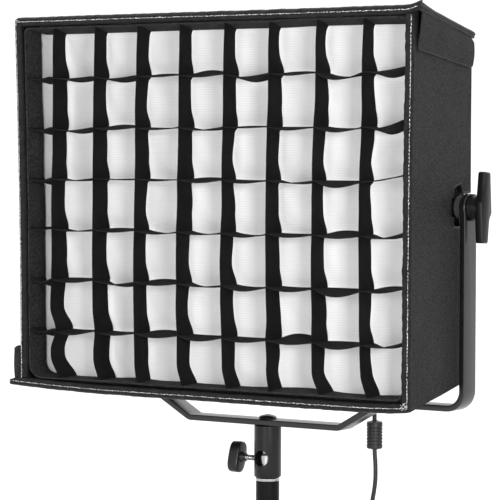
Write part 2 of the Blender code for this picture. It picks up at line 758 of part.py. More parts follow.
def make_plug():
    """Moulded plug in the socket, with its strain relief pointing down."""
    top = PIVOT_Z - COVER_HALF_HEIGHT
    length = top - PLUG_END
    profile = ((0, 0), (0.0032, 0), (0.0040, 0.0130), (0.0058, 0.0140), (0.0062, 0.0170), (0.0062, length - 0.0015),
               (0.0027, length - 0.0015), (0.0027, length + 0.0100), (0, length + 0.0100))
    turned("dc_plug", profile, (LEAD_X, LEAD_Y, PLUG_END), (0, 0, 1), lead_jacket(), 24)


def make_ferrite():
    """Moulded bead round the lead, with shallow ribs along its middle."""
    bore, neck, body = LEAD_RADIUS + GAP, 0.0042, FERRITE_RADIUS
    height = FERRITE_HIGH - FERRITE_LOW
    profile = [(bore, 0), (neck, 0), (body - 0.0006, 0.0012), (body, 0.0024)]
    for i in range(5):
        low = 0.0060 + i * 0.0036
        profile += [(body, low), (body - 0.0007, low + 0.0006), (body - 0.0007, low + 0.0014), (body, low + 0.0020)]
    profile += [(body, height - 0.0034), (body - 0.0008, height - 0.0020), (neck, height - 0.0012),
                (neck - 0.0004, height), (bore, height)]
    turned("ferrite_bead", profile, (0.0810, LEAD_Y, FERRITE_LOW), (0, 0, 1), lead_jacket(), 20)


def make_coil():
    """The tied coil of spare lead, as one ring, with the tie round it and its free end below."""
    circle = [(COIL_RADIUS + COIL_BUNDLE * math.cos(a), COIL_BUNDLE * math.sin(a))
              for a in (math.tau * i / 10 for i in range(10))]
    turned("dc_coil", circle, COIL_CENTRE, (0, 1, 0), lead_jacket(), 36)
    make_tie(math.radians(40), COIL_BUNDLE + 0.0016)


def make_tie(angle, inner, thickness=0.0013, reach=0.007):
    """A flat strap round the ring at the given angle."""
    along = Vector((-math.sin(angle), 0, math.cos(angle)))
    out = Vector((math.cos(angle), 0, math.sin(angle)))
    middle = COIL_CENTRE + out * COIL_RADIUS
    loops = []
    for half, step in ((inner + thickness, -reach), (inner + thickness, reach), (inner, reach), (inner, -reach)):
        corners = ((-half, -half), (half, -half), (half, half), (-half, half))
        loops.append([middle + along * step + out * u + Vector((0, v, 0)) for u, v in corners])
    loft("cord_tie", loops, black_fabric(), cyclic=True)


def make_tail():
    tube("dc_tail", smooth_route(TAIL_ROUTE, 0.005), LEAD_RADIUS, lead_jacket())
    profile = ((0, 0), (0.0050, 0), (0.0058, 0.0010), (0.0058, 0.0240), (0.0045, 0.0260), (0.0032, 0.0360),
               (0, 0.0360))
    end = Vector(TAIL_ROUTE[-1]) - Vector((0, 0, GAP + 0.0360))
    turned("dc_connector", profile, end, (0, 0, 1), lead_jacket(), 24)


def main():
    for obj in list(bpy.data.objects):
        bpy.data.objects.remove(obj)
    make_walls()
    make_flaps()
    make_rear_collar()
    make_grid()
    make_diffuser_cloth()
    make_light_front()
    make_heat_sink()
    make_rear_cover()
    make_fan()
    make_controls()
    make_pivots()
    make_yoke()
    make_yoke_bolt()
    make_receiver()
    make_thumbscrew()
    make_stand_top()
    make_plug()
    tube("dc_lead", smooth_route(LEAD_ROUTE, 0.006), LEAD_RADIUS, lead_jacket())
    make_ferrite()
    make_coil()
    make_tail()


main()
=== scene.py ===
"""Looks of a box softbox with an egg-crate grid, on an LED panel light held by a U yoke.

Metres, +Z up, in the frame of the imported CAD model. The light shines towards -Y.
"""

import json
import math
import random

import bmesh
import bpy
from mathutils import Matrix, Vector, noise


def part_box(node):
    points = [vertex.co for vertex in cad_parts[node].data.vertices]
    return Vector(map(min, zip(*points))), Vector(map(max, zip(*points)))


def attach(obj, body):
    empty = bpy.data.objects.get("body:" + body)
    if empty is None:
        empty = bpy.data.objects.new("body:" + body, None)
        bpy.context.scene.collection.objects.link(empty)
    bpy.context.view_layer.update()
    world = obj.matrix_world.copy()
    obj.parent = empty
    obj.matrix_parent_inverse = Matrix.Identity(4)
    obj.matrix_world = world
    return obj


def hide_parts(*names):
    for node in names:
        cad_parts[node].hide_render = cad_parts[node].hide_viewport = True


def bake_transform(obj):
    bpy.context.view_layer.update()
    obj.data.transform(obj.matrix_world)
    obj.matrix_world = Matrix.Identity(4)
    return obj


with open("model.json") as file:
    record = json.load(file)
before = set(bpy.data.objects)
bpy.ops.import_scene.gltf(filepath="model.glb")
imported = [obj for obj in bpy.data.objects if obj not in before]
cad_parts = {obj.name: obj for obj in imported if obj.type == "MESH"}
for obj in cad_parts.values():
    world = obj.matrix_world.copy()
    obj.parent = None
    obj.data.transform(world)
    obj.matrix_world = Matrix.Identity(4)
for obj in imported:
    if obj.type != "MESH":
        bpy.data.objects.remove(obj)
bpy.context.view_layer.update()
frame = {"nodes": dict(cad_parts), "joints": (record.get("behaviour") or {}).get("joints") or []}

# Places read from the frame.
JOINTS = {joint["name"]: joint for joint in frame["joints"]}
PIVOT = Vector(JOINTS["tilt"]["pos_m"])
FRONT_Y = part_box("right_panel")[0].y
BACK_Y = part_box("right_panel")[1].y
HALF_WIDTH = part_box("right_panel")[1].x
HALF_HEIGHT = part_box("top_panel")[1].z - PIVOT.z
DEPTH = BACK_Y - FRONT_Y

# Sizes of the softbox.
TAPER = 0.0195
WALL = 0.003
HEM_WIDTH = 0.0082
HEM_DEPTH = 0.0045
OVERHANG_FRONT = 0.0098
OVERHANG_BACK = 0.0025
LOOSE_OVERHANG = 0.0012
FLAP_DROP = 0.032
STRIP_DEPTH = 0.025
NEAR_TOP, NEAR_BOTTOM = 0.5, 0.14  # heights near the top and bottom panels, where the walls' drift is read


# Node materials.


class Finish:
    """A Principled material under construction, with short ways to add the nodes that give it texture."""

    def __init__(self, name, colour, roughness, metallic=0.0, **sockets):
        self.made = bpy.data.materials.new(name)
        self.made.use_nodes = True
        self.tree = self.made.node_tree
        self.shader = self.tree.nodes["Principled BSDF"]
        self.shader.inputs["Base Color"].default_value = (*colour, 1)
        self.shader.inputs["Roughness"].default_value = roughness
        self.shader.inputs["Metallic"].default_value = metallic
        for socket, value in sockets.items():
            self.shader.inputs[socket.replace("_", " ")].default_value = value
        self.where = self.tree.nodes.new("ShaderNodeTexCoord").outputs["Object"]

    def node(self, kind, **settings):
        made = self.tree.nodes.new("ShaderNode" + kind)
        for key, value in settings.items():
            setattr(made, key, value)
        return made

    def link(self, source, target):
        self.tree.links.new(source, target)

    def noise(self, size, detail=3.0, stretch=(1, 1, 1)):
        """Noise whose spots are about size metres across."""
        place = self.node("Mapping")
        place.inputs["Scale"].default_value = [s / size for s in stretch]
        self.link(self.where, place.inputs["Vector"])
        made = self.node("TexNoise")
        made.inputs["Scale"].default_value = 1.0
        made.inputs["Detail"].default_value = detail
        self.link(place.outputs["Vector"], made.inputs["Vector"])
        return made.outputs["Fac"]

    def ribs(self, direction, pitch, waver=0.0):
        """Parallel ribs, pitch metres apart, counted along X, Y or Z."""
        made = self.node("TexWave", bands_direction=direction)
        made.inputs["Scale"].default_value = math.pi / (10 * pitch)
        made.inputs["Distortion"].default_value = waver
        self.link(self.where, made.inputs["Vector"])
        return made.outputs["Fac"]

    def mix(self, first, second, operation="ADD", clamp=False):
        """Two heights combined. The second may be a number."""
        made = self.node("Math", operation=operation, use_clamp=clamp)
        self.link(first, made.inputs[0])
        if isinstance(second, (int, float)):
            made.inputs[1].default_value = second
        else:
            self.link(second, made.inputs[1])
        return made.outputs["Value"]

    def weave(self, pitch):
        """Crossing threads on any face that lies along two axes."""
        threads = [self.ribs(direction, pitch, 0.4) for direction in "XYZ"]
        return self.mix(self.mix(threads[0], threads[1]), threads[2])

    def bump(self, height, distance, strength=1.0):
        made = self.node("Bump")
        made.inputs["Strength"].default_value = strength
        made.inputs["Distance"].default_value = distance
        self.link(height, made.inputs["Height"])
        self.link(made.outputs["Normal"], self.shader.inputs["Normal"])

    def tone(self, factor, low, high, start=0.3, end=0.7):
        """Base colour from low to high as the factor goes from start to end."""
        made = self.node("ValToRGB")
        for stop, place, tone in zip(made.color_ramp.elements, (start, end), (low, high)):
            stop.position = place
            stop.color = (*tone, 1)
        self.link(factor, made.inputs["Fac"])
        self.link(made.outputs["Color"], self.shader.inputs["Base Color"])

    def gloss(self, factor, low, high):
        """Roughness from low to high as the factor goes from 0 to 1."""
        made = self.node("MapRange")
        made.inputs["To Min"].default_value = low
        made.inputs["To Max"].default_value = high
        self.link(factor, made.inputs["Value"])
        self.link(made.outputs["Result"], self.shader.inputs["Roughness"])


def grey(value, warm=0.0):
    return (value * (1 + warm), value, value * (1 - warm))


def make_panel_fabric():
    """Coated dark grey nylon laid over stiff board: a fine weave with soft cloudy wear."""
    made = Finish("panel_fabric", grey(0.018), 0.7, Specular_IOR_Level=0.07)
    cloud = made.noise(0.05, 4)
    fleck = made.noise(0.0016, 2)
    both = made.mix(made.mix(cloud, 0.15, "MULTIPLY"), made.mix(fleck, 0.85, "MULTIPLY"))
    made.tone(both, grey(0.0070), grey(0.0310), 0.38, 0.62)
    made.gloss(cloud, 0.60, 0.75)
    made.bump(made.mix(made.weave(0.0005), made.mix(fleck, 2.5, "MULTIPLY")), 0.00008, 0.7)
    return made.made


def make_hem_fabric():
    """The same nylon, folded double and rubbed along its fold."""
    made = Finish("hem_fabric", grey(0.007), 0.50, Specular_IOR_Level=0.18)
    rub = made.noise(0.006, 5)
    made.tone(rub, grey(0.0035), grey(0.014), 0.35, 0.75)
    made.bump(made.mix(made.weave(0.0009), made.mix(rub, 3.0, "MULTIPLY")), 0.00025, 0.8)
    return made.made


def make_grid_fabric(name, tone):
    """Dense matt black cloth of the grid strips."""
    made = Finish(name, grey(tone), 0.9, Specular_IOR_Level=0.08)
    cloud = made.noise(0.02, 3)
    made.tone(cloud, grey(0.8 * tone), grey(1.3 * tone))
    made.bump(made.mix(made.weave(0.0007), cloud), 0.00010, 0.6)
    return made.made


def make_band_fabric():
    """Coarser black webbing of the band round the grid."""
    made = Finish("band_fabric", grey(0.017), 0.85, Specular_IOR_Level=0.12)
    fleck = made.noise(0.0022, 4)
    made.tone(fleck, grey(0.010), grey(0.036), 0.35, 0.7)
    made.bump(made.mix(made.weave(0.0014), made.mix(fleck, 2.0, "MULTIPLY")), 0.00025, 0.8)
    return made.made


def make_diffuser_cloth():
    """White ripstop: fine level ribs and a faint upright thread."""
    made = Finish("diffuser_cloth", grey(0.86), 0.85, Sheen_Weight=0.1, Sheen_Roughness=0.5)
    ribs = made.ribs("Z", 0.0023, 0.3)
    cross = made.ribs("X", 0.0011, 0.3)
    soft = made.noise(0.03, 3)
    both = made.mix(made.mix(ribs, 0.6, "MULTIPLY"), made.mix(soft, 0.4, "MULTIPLY"))
    made.tone(both, grey(0.79), grey(0.85), 0.1, 0.9)
    made.bump(made.mix(ribs, made.mix(cross, 0.4, "MULTIPLY")), 0.00012, 0.5)
    return made.made


def make_thread():
    """Off-white sewing thread, twisted, with the odd darker strand."""
    made = Finish("thread", grey(0.60), 0.75)
    fray = made.noise(0.0016, 4)
    made.tone(fray, grey(0.10), grey(0.62), 0.38, 0.62)
    made.bump(made.noise(0.0004, 2), 0.0002, 0.8)
    return made.made


def make_paint(name, shine):
    """Satin black powder coat with a fine orange peel, in places a little paler."""
    made = Finish(name, grey(0.005), 0.30, 0.0, Specular_IOR_Level=shine)
    peel = made.noise(0.0009, 2)
    wear = made.noise(0.012, 6)
    made.tone(wear, grey(0.0040), grey(0.0065))
    made.gloss(wear, 0.24, 0.34)
    made.bump(peel, 0.00003, 0.5)
    return made.made


def make_plastic(name, tone, rough):
    """Moulded plastic with a spark-eroded grain."""
    made = Finish(name, grey(tone), rough)
    grain = made.noise(0.0007, 3)
    smear = made.noise(0.015, 4)
    made.tone(smear, grey(tone * 0.88), grey(tone * 1.15))
    made.gloss(smear, rough - 0.07, rough + 0.07)
    made.shader.inputs["Specular IOR Level"].default_value = 0.35
    made.bump(grain, 0.00006, 0.5)
    return made.made


def make_steel():
    """Bright plated steel with faint turning marks and handling smears."""
    made = Finish("plated_steel", grey(0.40), 0.22, 1.0)
    smear = made.noise(0.006, 4)
    made.gloss(smear, 0.16, 0.34)
    made.bump(made.mix(made.ribs("Z", 0.0006, 1.0), smear), 0.00002, 0.5)
    return made.made


def make_aluminium():
    """Extruded aluminium with drawn lines along Z."""
    made = Finish("extruded_aluminium", grey(0.58), 0.34, 1.0)
    drawn = made.noise(0.0012, 3, (1, 1, 0.03))
    made.gloss(drawn, 0.25, 0.48)
    made.bump(drawn, 0.00004, 0.6)
    return made.made


def make_glass():
    """Dark display window with a faint smear over its gloss."""
    made = Finish("display_glass", (0.006, 0.008, 0.010), 0.07, Coat_Weight=0.5, Coat_Roughness=0.03)
    made.gloss(made.noise(0.02, 4), 0.04, 0.14)
    return made.made


def make_jacket():
    """Soft PVC of the lead, very slightly uneven."""
    made = Finish("lead_jacket", grey(0.012), 0.44, Specular_IOR_Level=0.35)
    uneven = made.noise(0.004, 3)
    made.gloss(uneven, 0.36, 0.52)
    made.bump(uneven, 0.00008, 0.5)
    return made.made


def make_washer():
    """Pressed fibre, flecked."""
    made = Finish("fibre", grey(0.02), 0.85)
    fleck = made.noise(0.0008, 5)
    made.tone(fleck, grey(0.012), grey(0.035))
    made.bump(fleck, 0.0001, 0.8)
    return made.made


def make_reflector():
    """Silver-grey lining on the inside of the walls."""
    made = Finish("silver_lining", grey(0.55), 0.38, 0.7)
    crinkle = made.noise(0.004, 5)
    made.gloss(crinkle, 0.30, 0.50)
    made.bump(crinkle, 0.0003, 0.7)
    return made.made


def make_board():
    """White solder mask with a grid of LED dots."""
    made = Finish("led_board", grey(0.75), 0.4)
    dots = made.mix(made.ribs("X", 0.008), made.ribs("Z", 0.008), "MULTIPLY")
    made.tone(dots, grey(0.78), (0.80, 0.62, 0.16), 0.80, 0.90)
    made.bump(dots, 0.0008, 0.8)
    return made.made


FINISH = {
    "panel": make_panel_fabric(),
    "hem": make_hem_fabric(),
    "grid": make_grid_fabric("upright_fabric", 0.006),
    # The cross strips are the same black cloth as the uprights; their lighter tone is painted light from
    # above on their upper faces.
    "cross": make_grid_fabric("cross_fabric_painted_toplight", 0.011),
    "band": make_band_fabric(),
    "cloth": make_diffuser_cloth(),
    "thread": make_thread(),
    "paint": make_paint("powder_coat", 0.5),
    "stand": make_paint("stand_coat", 0.08),
    "receiver": make_paint("receiver_coat", 0.25),
    "shell": make_plastic("light_shell", 0.016, 0.50),
    "plastic": make_plastic("black_plastic", 0.006, 0.34),
    "opal": make_plastic("opal_sheet", 0.80, 0.45),
    "steel": make_steel(),
    "aluminium": make_aluminium(),
    "glass": make_glass(),
    "jacket": make_jacket(),
    "washer": make_washer(),
    "lining": make_reflector(),
    "board": make_board(),
}


# Making meshes.


def piece(name, maker, finish, body, stands_for=(), sharp=40, inside=None):
    """A named piece from a bmesh, smooth but for its sharp edges, riding on a body."""
    bmesh.ops.remove_doubles(maker, verts=maker.verts, dist=1e-6)
    bmesh.ops.recalc_face_normals(maker, faces=maker.faces)
    mesh = bpy.data.meshes.new(name)
    maker.to_mesh(mesh)
    maker.free()
    mesh.materials.append(FINISH[finish])
    if inside:
        mesh.materials.append(FINISH[inside])
    mesh.shade_smooth()
    mesh.set_sharp_from_angle(angle=math.radians(sharp))
    obj = bpy.data.objects.new(name, mesh)
    bpy.context.scene.collection.objects.link(obj)
    if body:
        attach(obj, body)
    if stands_for:
        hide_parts(*stands_for)
    return obj


def skin(maker, rings, closed_ring=True, closed_path=False, caps=True):
    """Quads between successive rings of points, with the two end rings filled."""
    made = [[maker.verts.new(point) for point in ring] for ring in rings]
    pairs = list(zip(made, made[1:]))
    if closed_path:
        pairs.append((made[-1], made[0]))
    count = len(made[0])
    for first, second in pairs:
        for i in range(count if closed_ring else count - 1):
            j = (i + 1) % count
            maker.faces.new((first[i], first[j], second[j], second[i]))
    if caps and not closed_path:
        for end in (made[0], made[-1]):
            maker.faces.new(end)


def board(maker, outer, thickness, inward, lined_from=None):
    """A thin solid: rows of outer points, and the same rows moved inwards, joined round their edges.

    Its inner side has the second material from the row lined_from on.
    """
    rows, columns = len(outer), len(outer[0])
    top = [[maker.verts.new(point) for point in row] for row in outer]
    under = [[maker.verts.new(point + inward(point) * thickness) for point in row] for row in outer]
    for grid in (top, under):
        for r in range(rows - 1):
            lined = grid is under and lined_from is not None and r >= lined_from
            for c in range(columns - 1):
                face = maker.faces.new((grid[r][c], grid[r][c + 1], grid[r + 1][c + 1], grid[r + 1][c]))
                face.material_index = int(lined)
    border = [(0, c) for c in range(columns)] + [(r, columns - 1) for r in range(1, rows)]
    border += [(rows - 1, c) for c in range(columns - 2, -1, -1)] + [(r, 0) for r in range(rows - 2, 0, -1)]
    for (r, c), (s, d) in zip(border, border[1:] + border[:1]):
        maker.faces.new((top[r][c], top[s][d], under[s][d], under[r][c]))


def turned(maker, profile, centre, axis, steps=72):
    """A turned solid. Its profile's (radius, height) points start and end on the axis, or make a ring."""
    axis = Vector(axis).normalized()
    side = axis.orthogonal().normalized()
    other = axis.cross(side)
    centre = Vector(centre)
    rings = []
    for radius, height in profile:
        if radius == 0:
            rings.append([maker.verts.new(centre + axis * height)])
            continue
        spots = []
        for i in range(steps):
            angle = math.tau * i / steps
            out = side * math.cos(angle) + other * math.sin(angle)
            spots.append(maker.verts.new(centre + axis * height + out * radius))
        rings.append(spots)
    pairs = list(zip(rings, rings[1:]))
    if profile[0][0] > 0:
        pairs.append((rings[-1], rings[0]))
    for first, second in pairs:
        for i in range(steps):
            j = (i + 1) % steps
            corners = [first[i % len(first)], first[j % len(first)]]
            corners += [second[j % len(second)], second[i % len(second)]]
            maker.faces.new(list(dict.fromkeys(corners)))


def curve_through(points, spacing):
    """Points of a Catmull-Rom curve through the given ones, about spacing apart."""
    route = [Vector(point) for point in points]
    ends = [route[0] * 2 - route[1], *route, route[-1] * 2 - route[-2]]
    found = []
    for a, b, c, d in zip(ends, ends[1:], ends[2:], ends[3:]):
        steps = max(1, round((c - b).length / spacing))
        for i in range(steps):
            t = i / steps
            found.append(0.5 * (2 * b + (c - a) * t + (2 * a - 5 * b + 4 * c - d) * t**2
                                + (3 * b - a - 3 * c + d) * t**3))
    return [*found, route[-1]]


def tube_rings(path, radius, sides):
    """Rings round a path, carried along it without twist."""
    path = [Vector(point) for point in path]
    side = (path[1] - path[0]).orthogonal().normalized()
    rings = []
    for i, point in enumerate(path):
        along = (path[min(i + 1, len(path) - 1)] - path[max(i - 1, 0)]).normalized()
        side = (side - along * side.dot(along)).normalized()
        other = along.cross(side)
        reach = radius(i / (len(path) - 1)) if callable(radius) else radius
        angles = [math.tau * k / sides for k in range(sides)]
        rings.append([point + side * math.cos(a) * reach + other * math.sin(a) * reach for a in angles])
    return rings


def tube(maker, path, radius, sides=12):
    skin(maker, tube_rings(path, radius, sides))


def flat_prism(maker, outline, axis, low, high):
    """An outline of (y, z), (x, z) or (x, y) points, pushed from low to high along an axis."""
    place = {
        "X": lambda point, along: Vector((along, point[0], point[1])),
        "Y": lambda point, along: Vector((point[0], along, point[1])),
        "Z": lambda point, along: Vector((point[0], point[1], along)),
    }[axis]
    skin(maker, [[place(point, along) for point in outline] for along in (low, high)])


def arc(centre, radius, first, last, steps):
    angles = [math.radians(first + (last - first) * i / steps) for i in range(steps + 1)]
    return [(centre[0] + radius * math.cos(a), centre[1] + radius * math.sin(a)) for a in angles]


def rounded_rectangle(half_width, half_height, radii, steps, middle_z=0.0):
    """(x, z) points from the top right round, with one radius for each corner."""
    points = []
    for k, (sign_x, sign_z) in enumerate(((1, 1), (-1, 1), (-1, -1), (1, -1))):
        centre = (sign_x * (half_width - radii[k]), middle_z + sign_z * (half_height - radii[k]))
        points += arc(centre, radii[k], 90 * k, 90 * k + 90, steps)
    return points


def helper(name, maker):
    """A hidden solid for a Boolean."""
    bmesh.ops.recalc_face_normals(maker, faces=maker.faces)
    mesh = bpy.data.meshes.new(name)
    maker.to_mesh(mesh)
    maker.free()
    obj = bpy.data.objects.new(name, mesh)
    bpy.context.scene.collection.objects.link(obj)
    return obj


def carve(obj, helpers, operation="DIFFERENCE"):
    """Booleans applied at once, with the helpers removed."""
    for other in helpers:
        boolean = obj.modifiers.new("carve", "BOOLEAN")
        boolean.operation = operation
        boolean.object = other
    bpy.context.view_layer.update()
    graph = bpy.context.evaluated_depsgraph_get()
    mesh = bpy.data.meshes.new_from_object(obj.evaluated_get(graph))
    old = obj.data
    obj.modifiers.clear()
    obj.data = mesh
    bpy.data.meshes.remove(old)
    for other in helpers:
        bpy.data.objects.remove(other)


def place_carved(obj, finish, node):
    """One finish and sharp edges again for a carved piece of the yoke, which stands for a CAD node."""
    obj.data.materials.clear()
    obj.data.materials.append(FINISH[finish])
    obj.data.set_sharp_from_angle(angle=math.radians(30))
    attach(obj, "yoke")
    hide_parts(node)


# The softbox's outer surface, with the drift that a sewn box has.


def half_width(y):
    return HALF_WIDTH - TAPER * (y - FRONT_Y) / DEPTH


def half_height(y):
    return HALF_HEIGHT - TAPER * (y - FRONT_Y) / DEPTH


ARM_Y = -0.010  # the lower left edge is pressed in here, where the yoke's arm passes


def overhang(y, corner="top_right"):
    """How far the closing edge stands out. The lower left corner isn't pulled as tight."""
    tight = OVERHANG_FRONT + (OVERHANG_BACK - OVERHANG_FRONT) * (y - FRONT_Y) / DEPTH
    loose = LOOSE_OVERHANG * forward(y) - 0.0022 * hump(y, ARM_Y, 0.045)
    return tight + (loose if corner == "bottom_left" else 0.0)


def hump(value, middle, half):
    """A smooth bump of height 1 at the middle, 0 beyond half on either side."""
    away = abs(value - middle) / half
    return 0.0 if away >= 1 else 0.5 + 0.5 * math.cos(math.pi * away)


def forward(y):
    """1 at the front hem, 0 at the back edge."""
    return 1 - (y - FRONT_Y) / DEPTH


def share(z):
    """0 at the softbox's lower edge, 1 at its upper edge."""
    return (z - PIVOT.z) / (2 * HALF_HEIGHT) + 0.5


def left_x(y, z):
    """The left wall splays out towards its top."""
    return -half_width(y) - (0.0073 * share(z) ** 2 + 0.0010) * forward(y)


def right_x(y, z):
    return half_width(y) + (0.0026 * share(z) ** 2 + 0.0002) * forward(y)


def top_z(x, y):
    """The top sinks a little to the right of its middle."""
    sink = min(max((x / HALF_WIDTH + 0.6), 0), 1)
    peak = 0.0034 * max(0.0, (x / HALF_WIDTH - 0.96) / 0.08) ** 2
    return PIVOT.z + half_height(y) + (peak - 0.0010 - 0.0005 * sink * sink * (3 - 2 * sink)) * forward(y)


def bottom_z(x, y):
    """The bottom sags in its middle and curls up at both ends."""
    across = x / HALF_WIDTH
    curl = 0.0034 * max(0.0, (-across - 0.45) / 0.6) ** 2 + 0.0020 * max(0.0, (across - 0.7) / 0.3) ** 2
    return PIVOT.z - half_height(y) + (curl - 0.0007) * forward(y)


def ripple(x, y, z, amount, size=0.06):
    return amount * noise.noise(Vector((x, y, z)) / size)


def between(low, high, count):
    return [low + (high - low) * i / count for i in range(count + 1)]


def wall_rows(side):
    """Outer points of one wall, from its hem to its back edge, row by row."""
    rows = []
    for y in between(FRONT_Y + HEM_DEPTH - 0.001, BACK_Y, 22):
        row = []
        for t in between(0, 1, 60):
            if side in ("left", "right"):
                edge = HALF_WIDTH if side == "right" else -HALF_WIDTH
                low = bottom_z(edge, y) + 0.0004
                high = top_z(edge, y) - 0.0004
                z = low + (high - low) * t
                x = right_x(y, z) if side == "right" else left_x(y, z)
                bow = ripple(x, y, z, 0.0007) * math.sin(math.pi * t)
                row.append(Vector((x + bow, y, z)))
            else:
                if side == "top":
                    ends = (left_x(y, NEAR_TOP), half_width(y) + overhang(y))
                else:
                    ends = (-half_width(y) - overhang(y, "bottom_left"), right_x(y, NEAR_BOTTOM))
                x = ends[0] + (ends[1] - ends[0]) * t
                z = top_z(x, y) if side == "top" else bottom_z(x, y)
                row.append(Vector((x, y, z + ripple(x, y, z, 0.0007))))
        rows.append(row)
    return rows


INWARD = {
    "left": Vector((1, 0, 0)),
    "right": Vector((-1, 0, 0)),
    "top": Vector((0, 0, -1)),
    "bottom": Vector((0, 0, 1)),
}
MOUTH = 0.0135  # how far above the pivot the opening's mouth reaches


def notch_outline(grow=0.0):
    """The opening round the pivot, (y, z): a slot from the back edge with a round front end."""
    half = 0.0215 + grow
    reach = 0.0098 + grow
    mouth = PIVOT.z + MOUTH + grow
    round_end = arc((0.0098, PIVOT.z), half, 120, 240, 10)
    round_end = [(max(y, -reach), z) for y, z in round_end]
    rear = BACK_Y + 0.02
    return [(rear, PIVOT.z - half), (rear, mouth), (0.0200, mouth), (0.0150, PIVOT.z + half), *round_end]


def make_walls():
    for side in ("top", "bottom", "left", "right"):
        maker = bmesh.new()
        board(maker, wall_rows(side), WALL, lambda point: INWARD[side], lined_from=4)
        wall = piece(f"{side}_wall", maker, "panel", None, inside="lining")
        if side in ("left", "right"):
            sign = 1 if side == "right" else -1
            cutter = bmesh.new()
            flat_prism(cutter, notch_outline(), "X", *sorted((sign * 0.18, sign * 0.25)))
            carve(wall, [helper("notch", cutter)])
            wall.data.set_sharp_from_angle(angle=math.radians(40))
        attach(wall, "light")
        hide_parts(f"{side}_panel")
        make_back_binding(side)
    for sign in (1, -1):
        make_notch_binding(sign)


def make_back_binding(side):
    """A soft rolled binding over a wall's back edge."""
    row = wall_rows(side)[-1]
    inward = INWARD[side]
    if side in ("left", "right"):
        halves = [[p for p in row if p.z < PIVOT.z - 0.0225],
                  [p for p in row if p.z > PIVOT.z + MOUTH + 0.001]]
    else:
        halves = [row]
    maker = bmesh.new()
    for points in halves:
        path = [point + inward * WALL / 2 + Vector((0, -0.0012, 0)) for point in points[1:-1]]
        path = [p + inward * ripple(p.x, 7, p.z, 0.0006, 0.02) for p in path]
        tube(maker, path, 0.0018, 10)
    piece(f"{side}_back_binding", maker, "hem", "light")


def make_notch_binding(sign):
    """The turned edge round the opening for the pivot."""
    side = "right" if sign > 0 else "left"
    maker = bmesh.new()
    outline = [point for point in notch_outline(0.0004) if point[0] < BACK_Y]
    ends = [(BACK_Y - 0.001, outline[0][1]), *outline, (BACK_Y - 0.001, outline[-1][1])]
    path = []
    for y, z in ends:
        x = right_x(y, z) if sign > 0 else left_x(y, z)
        path.append((x - sign * 0.0008, y, z))
    tube(maker, curve_through(path, 0.003), 0.0014, 8)
    piece(f"{side}_notch_binding", maker, "hem", "light")


# Hems: two L-shaped bindings, each with a row of stitches.


def hem_path(half):
    """(point on the outer front edge, outward direction) along the upper-left or the lower-right L."""
    corner = 0.0045
    stations = []
    if half == "upper":
        run = between(HALF_WIDTH + OVERHANG_FRONT, -HALF_WIDTH + corner, 120)
        stations += [(Vector((x, FRONT_Y, top_z(x, FRONT_Y))), Vector((0, 0, 1))) for x in run]
        start, end = Vector((0, 0, 1)), Vector((-1, 0, 0))
        middle_z = top_z(-HALF_WIDTH, FRONT_Y) - corner
        turn_x = left_x(FRONT_Y, middle_z)
        stations = [s for s in stations if s[0].x > turn_x + corner]
        centre = Vector((turn_x + corner, FRONT_Y, middle_z))
        down = between(middle_z, bottom_z(-HALF_WIDTH, FRONT_Y) + HEM_WIDTH + 0.0004, 100)
        after = [(Vector((left_x(FRONT_Y, z), FRONT_Y, z)), Vector((-1, 0, 0))) for z in down]
    else:
        run = between(-HALF_WIDTH - OVERHANG_FRONT - LOOSE_OVERHANG - 0.0032, HALF_WIDTH, 120)
        middle_z = bottom_z(HALF_WIDTH, FRONT_Y) + corner
        turn_x = right_x(FRONT_Y, middle_z)
        start, end = Vector((0, 0, -1)), Vector((1, 0, 0))
        stations = [(Vector((x, FRONT_Y, bottom_z(x, FRONT_Y))), start) for x in run if x < turn_x - corner]
        centre = Vector((turn_x - corner, FRONT_Y, middle_z))
        up = between(middle_z, top_z(HALF_WIDTH, FRONT_Y) - HEM_WIDTH - 0.0004, 100)
        after = [(Vector((right_x(FRONT_Y, z), FRONT_Y, z)), end) for z in up]
    bend = []
    for i in range(1, 8):
        angle = math.pi / 2 * i / 8
        out = start * math.cos(angle) + end * math.sin(angle)
        bend.append((centre + out * corner, out))
    return stations + bend + after


HEM_PROFILE = (
    (0.0003, HEM_DEPTH), (0.0006, 0.0036), (0.0004, 0.0024), (-0.0004, 0.0010), (-0.0017, 0.0001),
    (-0.0027, 0.0001), (-0.0034, 0.0007), (-0.0042, 0.0001), (-0.0060, -0.0001), (-0.0074, 0.0004),
    (-0.0082, 0.0014), (-0.0083, 0.0030), (-0.0082, HEM_DEPTH),
)  # (outwards, backwards) from the outer front edge, with the groove that the stitches pull


def stitch_inset(out):
    """How far in from the outer edge the stitches run: furthest on the level hems, least on the right one."""
    return 0.0022 + 0.0018 * abs(out.z) - 0.0006 * max(0.0, out.x)


def make_hem(half):
    stations = hem_path(half)
    rings = []
    for i, (point, out) in enumerate(stations):
        shift = stitch_inset(out) - 0.0034
        pucker = 0.00022 * math.sin(i * 2.1) + ripple(point.x, half == "upper", point.z, 0.0007, 0.012)
        pinch = 1 - 0.36 * min(max((-point.x - HALF_WIDTH) / 0.010, 0), 1) if half == "lower" else 1
        ring = []
        for k, (outwards, backwards) in enumerate(HEM_PROFILE):
            groove = shift if 4 < k < 8 else 0
            soft = pucker if 0 < k < 11 else 0
            reach = outwards * pinch - groove + soft * 0.6
            ring.append(point + out * reach + Vector((0, backwards + soft, 0)))
        rings.append(ring)
    maker = bmesh.new()
    skin(maker, rings)
    piece(f"{half}_hem", maker, "hem", "light", sharp=60)
    make_stitches(f"{half}_stitches", stations)


